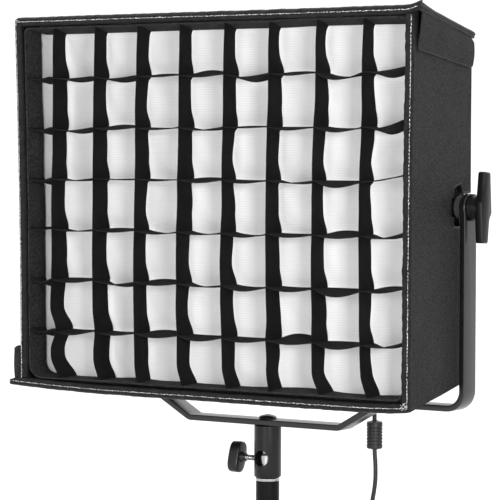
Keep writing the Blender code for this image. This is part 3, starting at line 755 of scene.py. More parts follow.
def make_stitches(name, stations, pitch=0.0034):
    """Separate stitches of thick thread, each a short tube that dives into the cloth at both ends."""
    random.seed(len(stations))
    maker = bmesh.new()
    line = [(point - out * stitch_inset(out) + Vector((0, 0.0001, 0)), out) for point, out in stations]
    travelled, gap = 0.0, pitch / 2
    for (a, out), (b, _) in zip(line, line[1:]):
        step = (b - a).length
        while gap <= travelled + step:
            middle = a.lerp(b, (gap - travelled) / step)
            along = (b - a).normalized()
            along = (along + out * random.uniform(-0.14, 0.14)).normalized()
            middle += out * random.uniform(-0.00018, 0.00018)
            half = pitch * random.uniform(0.44, 0.52)
            path = [middle + along * half * t + Vector((0, 0.00055 * t * t - 0.00022, 0))
                    for t in (-1, -0.75, -0.3, 0.3, 0.75, 1)]
            reach = random.uniform(0.00034, 0.00046)
            tube(maker, path, lambda t, r=reach: r * (0.45 + 0.55 * math.sin(math.pi * t) ** 0.5), 6)
            gap += pitch
        travelled += step
    piece(name, maker, "thread", "light", sharp=70)


def hand_stitches(maker, corner, ends, lift, radius):
    """Short stitches near a corner of the hems, each between two (x, z) places in millimetres."""
    for start, end in ends:
        a = corner + Vector((start[0], 0, start[1])) * 0.001
        b = corner + Vector((end[0], 0, end[1])) * 0.001
        path = [a.lerp(b, t) + Vector((0, -lift * math.sin(math.pi * t), 0)) for t in between(0, 1, 6)]
        tube(maker, path, radius, 6)


def make_corner_stitches():
    """The crossed hand stitches over the mitre at the lower right and the knot at the upper left."""
    maker = bmesh.new()
    low = Vector((right_x(FRONT_Y, NEAR_BOTTOM), FRONT_Y - 0.0002, bottom_z(HALF_WIDTH, FRONT_Y)))
    mitre = (((-9, 3), (-3, 9)), ((-7, 2), (-2, 6.5)), ((-8, 7), (-4, 2.5)), ((-5.5, 8.5), (-2, 4.5)))
    hand_stitches(maker, low, mitre, 0.0005, 0.00028)
    high = Vector((left_x(FRONT_Y, NEAR_TOP), FRONT_Y - 0.0002, top_z(-HALF_WIDTH, FRONT_Y)))
    knot = (((1.6, -6.5), (5.5, -2.2)), ((3.2, -7), (3.8, -1.8)), ((1.8, -4.2), (6.2, -4.0)))
    hand_stitches(maker, high, knot, 0.0006, 0.00026)
    piece("corner_stitches", maker, "thread", "light", sharp=70)


# Rolled edges and closure flaps, on the two closing corners.


def turn_half(point):
    """Half a turn about the softbox's own axis: the top right goes to the bottom left."""
    return Vector((-point.x, point.y, 2 * PIVOT.z - point.z))


def placed(point, corner):
    return point if corner == "top_right" else turn_half(point)


def make_roll(corner):
    """The doubled roll along the overhanging edge of the top or bottom panel."""
    maker = bmesh.new()
    for drop, radius, tail in ((0.0018, 0.0023, 0.0004), (0.0046, 0.0017, -0.0008)):
        path = []
        for y in between(FRONT_Y - 0.0006, BACK_Y + tail, 40):
            held = min(y, BACK_Y)
            x = half_width(held) + overhang(held, corner) - 0.0004 + ripple(0, y, drop, 0.0006, 0.02)
            base = top_z(HALF_WIDTH, y) if corner == "top_right" else 2 * PIVOT.z - bottom_z(-x, held)
            path.append(placed(Vector((x, y, base - drop)), corner))
        tube(maker, path, lambda t, r=radius: r * (1 - 0.35 * max(0.0, abs(2 * t - 1) - 0.97) / 0.03), 12)
    piece(f"{corner}_roll", maker, "hem", "light")


def flap_rows(corner):
    """Outer points of a closure flap: stood off the wall, with round rear corners."""
    rows = []
    for t in between(0, 1, 26):
        row = []
        for s in between(0, 1, 60):
            round_off = 0.009 * max(0.0, (0.16 - t) / 0.16) ** 2 + 0.003 * max(0.0, (t - 0.93) / 0.07) ** 2
            front = FRONT_Y + HEM_DEPTH + 0.0012 + (0.0050 * t if corner == "top_right" else 0.0)
            back = BACK_Y - 0.0012 - round_off
            y = front + (back - front) * s
            held = min(y, BACK_Y)
            z = PIVOT.z + half_height(held) - 0.0066 - FLAP_DROP * t * (1 - 0.175 * s)
            if corner == "top_right":
                lean, loose = 0.70, 0.0008
            else:
                lean = -0.10 * forward(held)
                loose = 0.0022 * forward(held) * (1 - hump(held, ARM_Y, 0.05))
            away = overhang(held, corner) * (1 - lean * t) + loose
            puff = 0.0012 * math.sin(math.pi * t) + ripple(3, y, z, 0.0010, 0.035)
            x = half_width(held) + away + puff
            row.append(placed(Vector((x, y, z)), corner))
        rows.append(row)
    return rows


def make_flap(corner, body, node):
    maker = bmesh.new()
    inward = Vector((-1, 0, 0)) if corner == "top_right" else Vector((1, 0, 0))
    stuffed = 0.0 if corner == "top_right" else 4.5

    def depth(point):
        """The lower left flap is folded thick at its front end."""
        return inward * (1 + stuffed * max(0.0, 1 - (point.y - FRONT_Y - 0.008) / 0.03))

    board(maker, flap_rows(corner), 0.0016, depth)
    flap = piece(f"{corner}_closure_flap", maker, "panel", body, [node], sharp=50)
    bevel = flap.modifiers.new("edges", "BEVEL")
    bevel.width = 0.0005
    bevel.segments = 2
    bevel.limit_method = "ANGLE"
    bevel.angle_limit = math.radians(60)
    rows = flap_rows(corner)
    edge = bmesh.new()
    tube(edge, [p + inward * 0.0008 for p in rows[-1][1:-1]], 0.0011, 8)
    piece(f"{corner}_flap_edge", edge, "hem", body)


# Grid, band and diffuser.


LEFT_HEM, RIGHT_HEM = 0.0073, 0.0046  # widths of the side hems where the band starts
BAND_CORNERS = (0.010, 0.007, 0.015, 0.012)  # radii that the cloth takes, from the top right round


def grid_shift(x, z):
    """The band and its strips' ends follow the drift of the left and right hems."""
    left = min(0.0, left_x(FRONT_Y, z) + HALF_WIDTH + LEFT_HEM - HEM_WIDTH) * max(0.0, -x / HALF_WIDTH) ** 3
    right = (right_x(FRONT_Y, z) - HALF_WIDTH - RIGHT_HEM + HEM_WIDTH) * max(0.0, x / HALF_WIDTH) ** 3
    return left + right


def dense(outline, spacing=0.006):
    """A closed outline with points added along its straight runs."""
    found = []
    for a, b in zip(outline, outline[1:] + outline[:1]):
        a, b = Vector(a), Vector(b)
        steps = max(1, round((b - a).length / spacing))
        found += [a.lerp(b, i / steps) for i in range(steps)]
    return found


BAND_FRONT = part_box("grid_band")[0].y
BAND_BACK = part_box("grid_band")[1].y
BAND_PROFILE = (
    (BAND_FRONT, 0.0), (BAND_FRONT - 0.0004, 0.0008), (BAND_FRONT, 0.0016), (BAND_FRONT + 0.006, 0.0013),
    (BAND_FRONT + 0.014, 0.0015), (BAND_BACK, 0.0015), (BAND_BACK, 0.0), (BAND_FRONT + 0.012, 0.0),
)  # (y, inwards) round the webbing's section


def make_band():
    line = dense(rounded_rectangle(HALF_WIDTH - HEM_WIDTH - 0.0006, HALF_HEIGHT - HEM_WIDTH - 0.0014,
                                   BAND_CORNERS, 10, PIVOT.z))
    rings = []
    for i, point in enumerate(line):
        after, before = line[(i + 1) % len(line)], line[i - 1]
        along = (after - before).normalized()
        inward = Vector((-along.y, along.x))
        if inward.dot(Vector((0, PIVOT.z)) - point) < 0:
            inward = -inward
        wave = ripple(point.x, 1.5, point.y, 0.0014, 0.045)
        ring = []
        for y, depth in BAND_PROFILE:
            lean = (y - BAND_FRONT) * (0.03 - 0.15 * min(0.0, inward.y) ** 3 - 0.06 * max(0.0, inward.x))
            slack = max(0.0, noise.noise(Vector((point.x * 16, 2.2, 0))))
            lean += (y - BAND_FRONT) * 0.16 * max(0.0, inward.y) * slack
            place = point + inward * (depth + lean + 0.0009 + wave * (0.5 if depth else 0.2))
            ring.append(Vector((place.x + grid_shift(place.x, place.y), y + wave * 0.4, place.y)))
        rings.append(ring)
    maker = bmesh.new()
    skin(maker, rings, closed_path=True)
    band = piece("grid_band_webbing", maker, "band", "light", ["grid_band"], sharp=60)


UPRIGHTS = [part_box(f"grid_upright_{i}") for i in range(1, 9)]
CROSSES = [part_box(f"grid_cross_{i}") for i in range(1, 7)]
UPRIGHT_X = [(low.x + high.x) / 2 for low, high in UPRIGHTS]
CROSS_Z = [(low.z + high.z) / 2 for low, high in CROSSES]
STRIP_FRONT = UPRIGHTS[0][0].y
STRIP_HALF = 0.0004  # half a strip's thickness
STRIP_LOW, STRIP_HIGH = UPRIGHTS[0][0].z, UPRIGHTS[0][1].z
STRIP_LEFT, STRIP_RIGHT = CROSSES[0][0].x, CROSSES[0][1].x

# The uprights' lean in millimetres: right at the top, and a bow to the left below it that grows to the right.
TOP_LEAN, BOW, BOW_GROWTH = 2.4, 0.8, 0.4
# How far the back edge stands from the front one, and how much more at the top.
BACK_TURN, BACK_TURN_TOP = -1.5, -2.5
# How far each foot kicks to the right.
FOOT_KICK = (11.0, 8.0, 3.0, 5.5, 5.0, 2.5, 8.0, 7.0)
KNEE = (6.0, 2.0, 0.0, 0.0, 0.0, -1.0, 0.0, 0.0)  # and at the lowest crossing


def upright_sway(i, t):
    """Where the front edge of upright i stands at the share t of its height."""
    bow = (BOW + BOW_GROWTH * i) * math.sin(math.pi * t) * (1.3 - t)
    return TOP_LEAN * t ** 4 - bow + 1.6 * noise.noise(Vector((i * 2.7, t * 3.5, 6.3)))


def upright_twist(i, t):
    """How much further right its back edge stands."""
    return BACK_TURN + BACK_TURN_TOP * t ** 3 + 2.6 * noise.noise(Vector((i * 1.9, t * 3.5, 2.6)))


def cell_wave(value, stops):
    """0 at each crossing, 1 at the middle of each cell."""
    for a, b in zip(stops, stops[1:]):
        if a <= value <= b:
            return math.sin(math.pi * (value - a) / (b - a))
    return 0.0


def flare(z, stops):
    """The back edge's swing to the right: slow above each crossing, quick below it, and at the top end."""
    total = 0.0
    for stop in stops:
        away = z - stop
        total = max(total, hump(away, 0.0, 0.019 if away > 0 else 0.005))
    return total


def upright_shift(i, z, s):
    """Sideways shift of upright i at height z, s going from 0 at its front edge to 1 at its back edge."""
    t = (z - STRIP_LOW) / (STRIP_HIGH - STRIP_LOW)
    cell = CROSS_Z[0] - STRIP_LOW
    kick = FOOT_KICK[i] * hump(z, STRIP_LOW - 0.05 * cell, 0.50 * cell)
    ruffle = cell_wave(z, [STRIP_LOW, *CROSS_Z, STRIP_HIGH]) * noise.noise(Vector((i * 3.1, z * 19, 0.5)))
    kick = kick * (0.8 + 0.5 * s) + KNEE[i] * hump(z, CROSS_Z[0], 0.45 * cell)
    total = upright_sway(i, t) + kick + ruffle * (1.4 + 3.2 * s)
    swing = 3.4 * flare(z, [*CROSS_Z, STRIP_HIGH + 0.001]) + 3.0 * hump(z, STRIP_HIGH, 0.010) - 0.7
    return 0.001 * (total + s * (swing + upright_twist(i, t)))


# Millimetres that each cross strip climbs to its right end, from the lowest, and how far it turns over there.
END_RISE = (4.0, 2.5, 3.5, 6.0, 6.0, 3.5)
END_TURN = (0.20, -0.30, 0.15, -0.20, 0.60, 0.55)


def cross_sag(j, x, s):
    """Drop of cross strip j at x, deepest left of each cell's middle. The back edge has its own drop."""
    stops = [STRIP_LEFT, *UPRIGHT_X, STRIP_RIGHT]
    cell = max(k for k, stop in enumerate(stops) if stop <= x + 1e-9)
    cell = min(cell, len(stops) - 2)
    a, b = stops[cell], stops[cell + 1]
    u = (x - a) / (b - a)
    droop = math.sin(math.pi * u ** 0.8) * (1.9 if cell == len(stops) - 3 else 1.0)
    rise = END_RISE[j] * u ** 1.3 if cell == len(stops) - 2 else 0.0
    chance = noise.noise(Vector((cell * 1.7, j * 2.3, 4.2)))
    turn = 0.45 if cell == 0 and j != 2 else noise.noise(Vector((cell * 2.9, j * 1.9, 9.1)))
    turn = END_TURN[j] if cell == len(stops) - 2 else turn
    lower = 1.35 if j < 2 else 1.0
    front = (2.4 + 2.6 * chance) * lower
    back = front + (10.0 * turn - 0.6) * lower
    return 0.001 * (rise - droop * (front * (1 - s) + back * s))


def make_strip(name, points, finish, across, node):
    """A limp strip, rows of points from its front to its back edge."""
    maker = bmesh.new()
    board(maker, points, 2 * STRIP_HALF, lambda point: across)
    strip = piece(name, maker, finish, "light", [node], sharp=60)


def make_grid():
    for i, x in enumerate(UPRIGHT_X):
        rows = []
        for s in between(0, 1, 8):
            y = STRIP_FRONT + STRIP_DEPTH * s
            run = between(STRIP_LOW, STRIP_HIGH, 150)
            rows.append([Vector((x - STRIP_HALF + upright_shift(i, z, s), y, z)) for z in run])
        make_strip(f"upright_strip_{i + 1}", rows, "grid", Vector((1, 0, 0)), f"grid_upright_{i + 1}")
    for j, z in enumerate(CROSS_Z):
        rows = []
        for s in between(0, 1, 8):
            y = STRIP_FRONT + 0.0004 + (STRIP_DEPTH - 0.0008) * s
            run = between(STRIP_LEFT, STRIP_RIGHT, 180)
            rows.append([Vector((x + grid_shift(x, z), y, z + STRIP_HALF + cross_sag(j, x, s))) for x in run])
        # The cross strips take the lighter copy of the strip cloth: painted light from above.
        make_strip(f"cross_strip_{j + 1}", rows, "cross", Vector((0, 0, -1)), f"grid_cross_{j + 1}")


def make_diffuser():
    """White cloth that falls in soft upright folds, gathered at its corners. It meets the left wall."""
    low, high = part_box("diffuser_cloth")
    tall = high.z - low.z
    rows = []
    for v in between(0, 1, 120):
        row = []
        for u in between(0, 1, 150):
            z = low.z + tall * v
            left = left_x(low.y, z) + WALL + 0.0004
            x = left + (high.x - left) * u
            loose = min(1.0, min(u, 1 - u) / 0.06, min(v, 1 - v) / 0.05)
            fold = 0.0034 * noise.noise(Vector((x * 24, 0.3, z * 4.5)))
            crease = 0.0016 * noise.noise(Vector(((x + z) * 34, (x - z) * 7, 5.1)))
            pucker = 0.0022 * noise.noise(Vector((x * 60, 2.7, z * 14))) * max(0.0, 1 - 6 * min(u, 1 - u))
            gather = 0.0024 * math.sin((x + z) * 520) * max(0.0, 1 - 9 * math.hypot(u, 1 - v))
            y = low.y + 0.0016 + loose * (fold + crease + pucker) + gather
            row.append(Vector((x, y, z)))
        rows.append(row)
    maker = bmesh.new()
    board(maker, rows, 0.0005, lambda point: Vector((0, 1, 0)))
    cloth = piece("diffuser_sheet", maker, "cloth", "light", ["diffuser_cloth"], sharp=70)


# Yoke, receiver and stand.

BAR_DRIFT = 0.0006


def bar_path():
    """Middle line of the bent bar, (x, z), from the left eye to the right one, with its bends as arcs."""
    yoke_low, yoke_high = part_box("yoke")
    thick = 0.0057
    side = yoke_high.x - thick / 2 + BAR_DRIFT
    low = yoke_low.z + thick / 2
    drop_height, drop_half = 0.0257, 0.0869
    run = drop_height / math.tan(math.radians(30))
    corners = [(drop_half, low, 0.009), (drop_half + run, low + drop_height, 0.009),
               (side, low + drop_height, 0.0165)]
    right = [Vector((0.0, low))]
    marks = [Vector((0.0, low))] + [Vector(corner[:2]) for corner in corners] + [Vector((side, PIVOT.z))]
    for k, (cx, cz, radius) in enumerate(corners, 1):
        before = (marks[k] - marks[k - 1]).normalized()
        after = (marks[k + 1] - marks[k]).normalized()
        turn = before.angle_signed(after)
        reach = radius * math.tan(abs(turn) / 2)
        centre = marks[k] + (after - before).normalized() * radius / math.cos(abs(turn) / 2)
        start = marks[k] - before * reach - centre
        for step in range(13):
            angle = -turn * step / 12
            c, s = math.cos(angle), math.sin(angle)
            right.append(centre + Vector((start.x * c - start.y * s, start.x * s + start.y * c)))
    right.append(Vector((side, PIVOT.z)))
    left = [Vector((-point.x, point.y)) for point in reversed(right[1:])]
    return left + right, thick


def make_yoke():
    """One flat bar, bent and drilled, with round eyes at its ends and softened edges."""
    line, thick = bar_path()
    half_wide = 0.0112
    soft = 0.0009
    rings = []
    for i, point in enumerate(line):
        along = (line[min(i + 1, len(line) - 1)] - line[max(i - 1, 0)]).normalized()
        normal = Vector((-along.y, along.x))
        section = rounded_rectangle(half_wide, thick / 2, [soft] * 4, 4)
        rings.append([Vector((point.x + normal.x * v, u, point.y + normal.y * v)) for u, v in section])
    maker = bmesh.new()
    skin(maker, rings)
    yoke = piece("yoke_bar", maker, "paint", None, sharp=30)
    eyes = []
    holes = []
    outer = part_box("yoke")[1].x + BAR_DRIFT
    for sign in (1, -1):
        face = (sign * (outer - thick), 0, PIVOT.z)
        eye = bmesh.new()
        turned(eye, ((0, 0.00001), (0.0119, 0.00001), (0.0128, 0.0009), (0.0128, thick - 0.0009),
                     (0.0119, thick - 0.00001), (0, thick - 0.00001)), face, (sign, 0, 0), 64)
        eyes.append(helper("eye", eye))
        hole = bmesh.new()
        turned(hole, ((0, -0.01), (0.0045, -0.01), (0.0045, 0.02), (0, 0.02)), face, (sign, 0, 0), 48)
        holes.append(helper("eye_hole", hole))
    carve(yoke, eyes, "UNION")
    carve(yoke, holes)
    place_carved(yoke, "paint", "yoke")
    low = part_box("yoke_bolt")[0]
    bolt = bmesh.new()
    seat = yoke_seat()
    dome = [(0.0088 * math.cos(math.radians(a)), seat + 0.0008 + 0.0032 * math.sin(math.radians(a)))
            for a in range(0, 90, 10)]
    turned(bolt, [(0, low.z), (0.0040, low.z), (0.0040, seat), (0.0090, seat), *dome, (0.0024, seat + 0.0040),
                  (0.0022, seat + 0.0024), (0, seat + 0.0024)], (0, 0, 0), (0, 0, 1), 64)
    piece("domed_bolt", bolt, "paint", "yoke", ["yoke_bolt"], sharp=30)


def yoke_seat():
    """Height of the bar's upper face at the bolt."""
    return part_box("yoke")[0].z + 0.0057 + 0.0003


def make_receiver():
    low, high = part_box("receiver")
    radius = (high.x - low.x) / 2
    bore, depth = 0.0083, 0.0430
    base, top = low.z, high.z
    maker = bmesh.new()
    turned(maker, ((bore, base), (radius - 0.0008, base), (radius - 0.0002, base + 0.0006),
                   (radius, base + 0.0012), (radius, top - 0.0006), (radius - 0.0006, top), (0.0044, top),
                   (0.0044, base + depth), (bore, base + depth)), (0, 0, 0), (0, 0, 1), 96)
    receiver = piece("stand_receiver", maker, "receiver", None, sharp=30)
    window = bmesh.new()
    turned(window, ((0, 0), (0.0078, 0), (0.0078, 0.02), (0, 0.02)), (0, -0.020, 0.0728), (0, 1, 0), 64)
    screw = bmesh.new()
    turned(screw, ((0, 0), (0.0032, 0), (0.0032, 0.02), (0, 0.02)), (-0.020, 0, 0.0713), (1, 0, 0), 40)
    carve(receiver, [helper("window", window), helper("screw", screw)])
    place_carved(receiver, "receiver", "receiver")


def make_stand():
    low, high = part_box("stand_tube")
    radius = (high.x - low.x) / 2
    maker = bmesh.new()
    turned(maker, ((0, 0), (radius - 0.0012, 0), (radius - 0.0003, 0.0005), (radius, 0.0014),
                   (radius, high.z - 0.0006), (radius - 0.0005, high.z), (0, high.z)),
           (0, 0, 0), (0, 0, 1), 96)
    piece("stand_top_tube", maker, "stand", "root", ["stand_tube"], sharp=30)
    ring_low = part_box("stand_stud")[0].z
    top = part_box("stand_stud")[1].z
    stud = 0.00795
    ring = ring_low + 0.0032
    maker = bmesh.new()
    turned(maker, ((0, ring_low), (radius, ring_low), (radius + 0.0002, ring_low + 0.0005),
                   (radius + 0.0002, ring - 0.0008), (radius - 0.0002, ring - 0.0002),
                   (radius - 0.0008, ring), (stud, ring), (stud, top - 0.021), (stud - 0.0012, top - 0.0185),
                   (stud - 0.0012, top - 0.0105), (stud, top - 0.008),
                   (stud, top - 0.0014), (stud - 0.0012, top), (0, top)), (0, 0, 0), (0, 0, 1), 96)
    piece("plated_stud", maker, "steel", "root", ["stand_stud"], sharp=25)


def make_thumbscrew():
    low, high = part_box("thumbscrew_rod")
    middle = (low.z + high.z) / 2
    maker = bmesh.new()
    rings = []
    count = 46
    for k in range(count * 12 + 1):
        x = high.x + (low.x - high.x) * k / (count * 12)
        deep = 0.00022 * (0.5 + 0.5 * math.cos(math.tau * k / 12)) if x > -0.0225 else 0.0
        rings.append([Vector((x, (0.0028 - deep) * math.cos(a), middle + (0.0028 - deep) * math.sin(a)))
                      for a in (math.tau * j / 24 for j in range(24))])
    skin(maker, rings)
    piece("threaded_rod", maker, "steel", "thumbscrew", ["thumbscrew_rod"], sharp=60)
    maker = bmesh.new()
    lean = math.radians(-16)
    rings = []
    for x, shrink in ((-0.0302, 0.0016), (-0.0306, 0.0007), (-0.0315, 0.0001), (-0.0330, 0.0), (-0.0392, 0.0),
                      (-0.0408, 0.0002), (-0.0416, 0.0009), (-0.0420, 0.0022)):
        ring = []
        for k in range(64):
            a = math.tau * k / 64
            c, s = math.cos(a), math.sin(a)
            u = (0.0083 - shrink) * math.copysign(abs(c) ** 0.80, c)
            v = (0.0154 - shrink) * math.copysign(abs(s) ** 0.62, s)
            ring.append(Vector((x, u * math.cos(lean) - v * math.sin(lean),
                                middle - 0.0002 + u * math.sin(lean) + v * math.cos(lean))))
        rings.append(ring)
    skin(maker, rings)
    collar = ((0.0031, -0.0003), (0.0056, -0.0003), (0.0050, 0.0030), (0.0043, 0.0046), (0.0031, 0.0048))
    turned(maker, collar, (-0.0303, 0, middle), (1, 0, 0), 40)
    piece("wing_knob", maker, "plastic", "thumbscrew", ["thumbscrew_knob"], sharp=50)


def make_tilt_handles():
    for sign, side in ((1, "right"), (-1, "left")):
        low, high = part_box(f"{side}_tilt_handle")
        seat = (low.x if sign > 0 else high.x) + sign * BAR_DRIFT
        hub = bmesh.new()
        turned(hub, ((0, 0.0078), (0.0044, 0.0078), (0.0044, 0), (0.0122, 0), (0.0126, 0.0005),
                     (0.0126, 0.0024), (0.0120, 0.0031), (0.0112, 0.0036), (0.0098, 0.0090),
                     (0.0088, 0.0112), (0, 0.0112)),
               (seat, 0, PIVOT.z), (sign, 0, 0), 72)
        piece(f"{side}_handle_hub", hub, "stand", f"{side}_knob", sharp=30)
        lean = math.radians(-4)
        rings = []
        for reach, grow in ((0.0080, -0.0012), (0.0088, -0.0002), (0.0098, 0.0), (0.0152, -0.0001),
                            (0.0161, -0.0005), (0.0166, -0.0016)):
            ring = []
            for y, z in handle_outline(grow):
                ring.append(Vector((seat + sign * reach, y * math.cos(lean) - z * math.sin(lean),
                                    PIVOT.z + y * math.sin(lean) + z * math.cos(lean))))
            rings.append(ring)
        bar = bmesh.new()
        skin(bar, rings)
        piece(f"{side}_handle_bar", bar, "receiver", f"{side}_knob",
              [f"{side}_tilt_handle"], sharp=30)


def handle_outline(grow):
    """(y, z) of a T handle's bar: blunt tips that swell to a faceted middle."""
    half, tip, middle = 0.0330 + grow, 0.0052 + grow, 0.0084 + grow
    side = [(tip, half - 0.0012), (tip - 0.0012, half), (-tip + 0.0012, half), (-tip, half - 0.0012),
            (-tip - 0.0006, 0.0200), (-tip - 0.0014, 0.0105), (-middle - 0.0018, 0.0042)]
    return side + [(-y, -z) for y, z in side]


# DC lead, wound where it isn't seen.

LEAD_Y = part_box("dc_plug")[0].y / 2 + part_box("dc_plug")[1].y / 2
PLUG_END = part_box("dc_plug")[0].z
LEAD_RADIUS = 0.0022
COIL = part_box("dc_coil")
COIL_CENTRE = (COIL[0] + COIL[1]) / 2
COIL_RADIUS = 0.0258
BUNDLE = 0.0052
TURNS_ABREAST = 7
BEND = 0.019
LEAD_ROUTE = (
    (0.0800, LEAD_Y, PLUG_END + 0.0060),
    (0.0800, LEAD_Y, PLUG_END - 0.0003),
    (0.0803, LEAD_Y, 0.1400),
    (0.0809, LEAD_Y, 0.1080),
    (0.0811, LEAD_Y, 0.0800),
    (0.0822, LEAD_Y, 0.0620),
    (0.0818, LEAD_Y, 0.0460),
    (0.0788, LEAD_Y, 0.0285),
)
TAIL_ROUTE = (
    (0.0464, LEAD_Y - 0.0035, -0.0230),
    (0.0457, LEAD_Y - 0.0035, -0.0320),
    (0.0455, LEAD_Y - 0.0035, -0.0410),
    (0.0455, LEAD_Y - 0.0035, -0.0530),
)


def coil_points():
    """A bend from the seen route onto the ring, then turns that go round one another, seven abreast."""
    first, last = math.radians(14), math.radians(70.85)
    reach = COIL_RADIUS + BUNDLE + BEND
    middle = COIL_CENTRE + Vector((-reach * math.cos(last), 0, reach * math.sin(last)))
    points = []
    for angle in between(first, last, 7)[1:]:
        points.append(middle + Vector((BEND * math.cos(angle), 0, -BEND * math.sin(angle))))
    start = math.pi - last
    whole = math.radians(175) - start + 6 * math.tau
    for turned_by in between(0, whole, 180)[1:]:
        angle = start + turned_by
        across = turned_by / TURNS_ABREAST
        out = COIL_RADIUS + BUNDLE * math.cos(across)
        spot = Vector((out * math.cos(angle), BUNDLE * math.sin(across), out * math.sin(angle)))
        points.append(COIL_CENTRE + spot)
    return points


def make_lead():
    seen = curve_through(LEAD_ROUTE, 0.004)
    coil = coil_points()
    tail = curve_through([coil[-1], *TAIL_ROUTE], 0.004)[1:]
    path = seen + coil + tail
    maker = bmesh.new()
    skin(maker, tube_rings(path, LEAD_RADIUS, 12))
    lead = piece("dc_lead_cord", maker, "jacket", None,
                 ["dc_lead", "dc_coil", "dc_tail"], sharp=60)
    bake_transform(lead)
    pieces = [make_plug(), make_ferrite(), make_tie(), make_connector()]


def make_plug():
    low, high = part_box("dc_plug")
    x = (low.x + high.x) / 2
    body_top = high.z - 0.0115
    maker = bmesh.new()
    profile = [(0, low.z), (0.0026, low.z), (0.0032, low.z + 0.0004)]
    for k in range(4):
        base = low.z + 0.0012 + k * 0.0030
        width = 0.0033 + 0.00025 * k
        profile += [(width, base), (width, base + 0.0017)]
        profile += [(width - 0.0006, base + 0.0020), (width - 0.0006, base + 0.0027)]
    profile += [(0.0044, low.z + 0.0134), (0.0056, low.z + 0.0150), (0.0062, low.z + 0.0175),
                (0.0062, body_top - 0.001), (0.0056, body_top), (0.0027, body_top), (0.0027, high.z),
                (0, high.z)]
    turned(maker, profile, (x, LEAD_Y, 0), (0, 0, 1), 48)
    return piece("moulded_plug", maker, "jacket", "light", ["dc_plug"], sharp=35)


def make_ferrite():
    low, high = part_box("ferrite_bead")
    x = (low.x + high.x) / 2
    body = (high.x - low.x) / 2
    bore = LEAD_RADIUS + 0.0002
    tall = high.z - low.z
    profile = [(bore, 0), (0.0036, 0.0), (0.0042, 0.0006), (body - 0.0009, 0.0008), (body - 0.0001, 0.0014),
               (body, 0.0024)]
    for k in range(6):
        base = 0.0050 + k * 0.0032
        profile += [(body, base), (body - 0.0006, base + 0.0003)]
        profile += [(body - 0.0006, base + 0.0010), (body, base + 0.0013)]
    profile += [(body, tall - 0.0026), (body - 0.0002, tall - 0.0016), (body - 0.0010, tall - 0.0009),
                (0.0042, tall - 0.0006), (0.0034, tall), (bore, tall)]
    maker = bmesh.new()
    turned(maker, profile, (x, LEAD_Y, low.z), (0, 0, 1), 56)
    return piece("ribbed_ferrite", maker, "jacket", "yoke", ["ferrite_bead"], sharp=35)


def make_tie():
    """A hook-and-loop strap round the bundle, its end lapped over."""
    angle = math.radians(40)
    along = Vector((-math.sin(angle), 0, math.cos(angle)))
    out = Vector((math.cos(angle), 0, math.sin(angle)))
    middle = COIL_CENTRE + out * COIL_RADIUS
    maker = bmesh.new()
    rows = []
    for step in between(-0.0068, 0.0068, 6):
        row = []
        for t in between(0, 1.12, 46):
            a = math.tau * t
            reach = BUNDLE + LEAD_RADIUS + 0.0005 + 0.0010 * min(1.0, max(0.0, (t - 0.90) / 0.12))
            row.append(middle + along * step + (out * math.cos(a) + Vector((0, 1, 0)) * math.sin(a)) * reach)
        rows.append(row)
    board(maker, rows, 0.0008, lambda p: ((p - middle) - along * (p - middle).dot(along)).normalized())
    return piece("strap_tie", maker, "band", "yoke", ["cord_tie"], sharp=60)


def make_connector():
    low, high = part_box("dc_connector")
    x, y = (low.x + high.x) / 2, (low.y + high.y) / 2
    tall = high.z - low.z
    profile = [(0, 0), (0.0030, 0), (0.0030, 0.0010), (0.0050, 0.0010), (0.0057, 0.0018), (0.0058, 0.0030)]
    for k in range(4):
        base = 0.0070 + k * 0.0034
        profile += [(0.0058, base), (0.0053, base + 0.0005), (0.0053, base + 0.0013), (0.0058, base + 0.0018)]
    profile += [(0.0058, 0.0235), (0.0050, 0.0258), (0.0043, 0.0270), (0.0030, tall - 0.0010)]
    profile += [(0.0026, tall), (0, tall)]
    maker = bmesh.new()
    turned(maker, profile, (x, y, low.z), (0, 0, 1), 48)
    return piece("inline_connector", maker, "jacket", "yoke", ["dc_connector"], sharp=35)


# CAD nodes that keep their shape and take a finish.


def dress_nodes():
    finishes = {
        "shell": ("main_housing", "rear_cover", "front_bezel"),
        "plastic": ("fan_rotor", "brightness_dial", "colour_dial", "menu_button", "mode_button",
                    "power_switch", "dc_socket"),
        "paint": ("fan_grille",),
        "stand": ("left_pivot_boss", "right_pivot_boss"),
        "washer": ("left_spacer", "right_spacer"),
        "steel": ("left_tilt_screw", "right_tilt_screw"),
        "aluminium": ("heat_sink",),
        "board": ("led_board",),
        "opal": ("diffusion_plate",),
        "glass": ("display_window",),
        "band": ("rear_collar",),
    }
    for finish, names in finishes.items():
        for name in names:
            mesh = frame["nodes"][name].data
            mesh.materials.clear()
            mesh.materials.append(FINISH[finish])


# Studio.


def make_studio():
    maker = bmesh.new()
    far, low = 40.0, -0.10
    rows = [[Vector((x, y, low)) for x in (-far, far)] for y in (-far, far)]
    skin(maker, rows, closed_ring=False, caps=False)
    floor = piece("floor", maker, "floor", None)
    world = bpy.data.worlds.new("studio")
    bpy.context.scene.world = world
    world.use_nodes = True
    light_the_world(world.node_tree)
    add_light("side_key", (2.1, -1.75, 0.55), 0.6, 48)
    add_light("front_key", (0.3, -2.7, 0.50), 1.2, 19)
    add_light("left_fill", (-1.5, -2.3, 0.7), 1.2, 6)


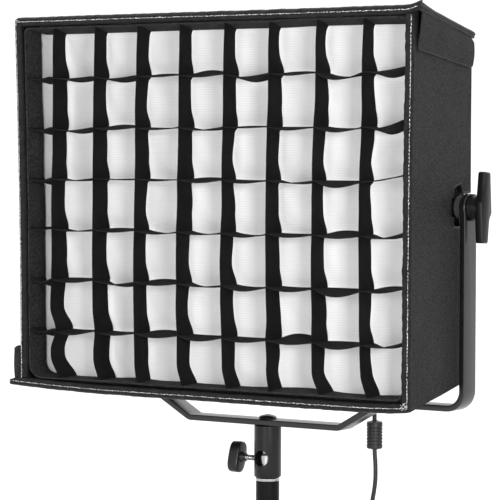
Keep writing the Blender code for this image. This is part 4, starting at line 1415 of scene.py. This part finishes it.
def light_the_world(tree):
    """A white sweep: bright behind the object and overhead, dim on the side that the softbox faces."""
    place = tree.nodes.new("ShaderNodeTexCoord").outputs["Generated"]
    behind = tree.nodes.new("ShaderNodeVectorMath")
    behind.operation = "DOT_PRODUCT"
    behind.inputs[1].default_value = (-0.55, 0.83, 0.0)
    upward = tree.nodes.new("ShaderNodeSeparateXYZ")
    total = tree.nodes.new("ShaderNodeMath")
    tree.links.new(place, behind.inputs[0])
    tree.links.new(place, upward.inputs["Vector"])
    spreads = ((behind.outputs["Value"], -0.35, 0.40, 0.12, 1.08),
               (upward.outputs["Z"], 0.22, 0.70, 0.0, 1.25))
    for slot, (source, start, end, low, high) in enumerate(spreads):
        spread = tree.nodes.new("ShaderNodeMapRange")
        spread.interpolation_type = "SMOOTHSTEP"
        for socket, value in zip(("From Min", "From Max", "To Min", "To Max"), (start, end, low, high)):
            spread.inputs[socket].default_value = value
        tree.links.new(source, spread.inputs["Value"])
        tree.links.new(spread.outputs["Result"], total.inputs[slot])
    tree.links.new(total.outputs["Value"], tree.nodes["Background"].inputs["Strength"])
    tree.nodes["Background"].inputs["Color"].default_value = (1, 1, 1, 1)


def add_light(name, place, size, power):
    """A square soft light aimed at the softbox."""
    lamp = bpy.data.lights.new(name, "AREA")
    lamp.size = size
    lamp.energy = power
    obj = bpy.data.objects.new(name, lamp)
    obj.location = place
    obj.rotation_euler = (PIVOT - Vector(place)).to_track_quat("-Z", "Y").to_euler()
    bpy.context.scene.collection.objects.link(obj)


CAMERA_PLACE = (1.3231, -2.0245, 0.3708)
CAMERA_TURN, CAMERA_DIP, CAMERA_ROLL = 33.59, 2.25, 0.16  # degrees
FOCAL_LENGTH = 178.67  # on a 36 mm sensor


def make_camera():
    """A long lens, to the right of the softbox and a little above its middle, turned back towards it."""
    lens = bpy.data.cameras.new("camera")
    lens.lens = FOCAL_LENGTH
    lens.sensor_width = 36
    lens.clip_end = 200
    camera = bpy.data.objects.new("camera", lens)
    turn = Matrix.Rotation(math.radians(CAMERA_TURN), 4, "Z")
    tip = Matrix.Rotation(math.radians(90 - CAMERA_DIP), 4, "X")
    roll = Matrix.Rotation(math.radians(CAMERA_ROLL), 4, "Z")
    camera.matrix_world = Matrix.Translation(CAMERA_PLACE) @ turn @ tip @ roll
    bpy.context.scene.collection.objects.link(camera)
    bpy.context.scene.camera = camera
    bpy.context.scene.view_settings.view_transform = "Standard"


def make_floor_finish():
    made = Finish("floor", grey(0.76), 0.9)
    made.tone(made.noise(0.4, 2), grey(0.75), grey(0.77))
    return made.made


FINISH["floor"] = make_floor_finish()

make_camera()
make_studio()
make_lead()
make_walls()
for half in ("upper", "lower"):
    make_hem(half)
make_corner_stitches()
for corner, body, node in (("top_right", "top_flap", "top_right_flap"),
                           ("bottom_left", "bottom_flap", "bottom_left_flap")):
    make_roll(corner)
    make_flap(corner, body, node)
make_band()
make_grid()
make_diffuser()
make_yoke()
make_receiver()
make_stand()
make_thumbscrew()
make_tilt_handles()
dress_nodes()
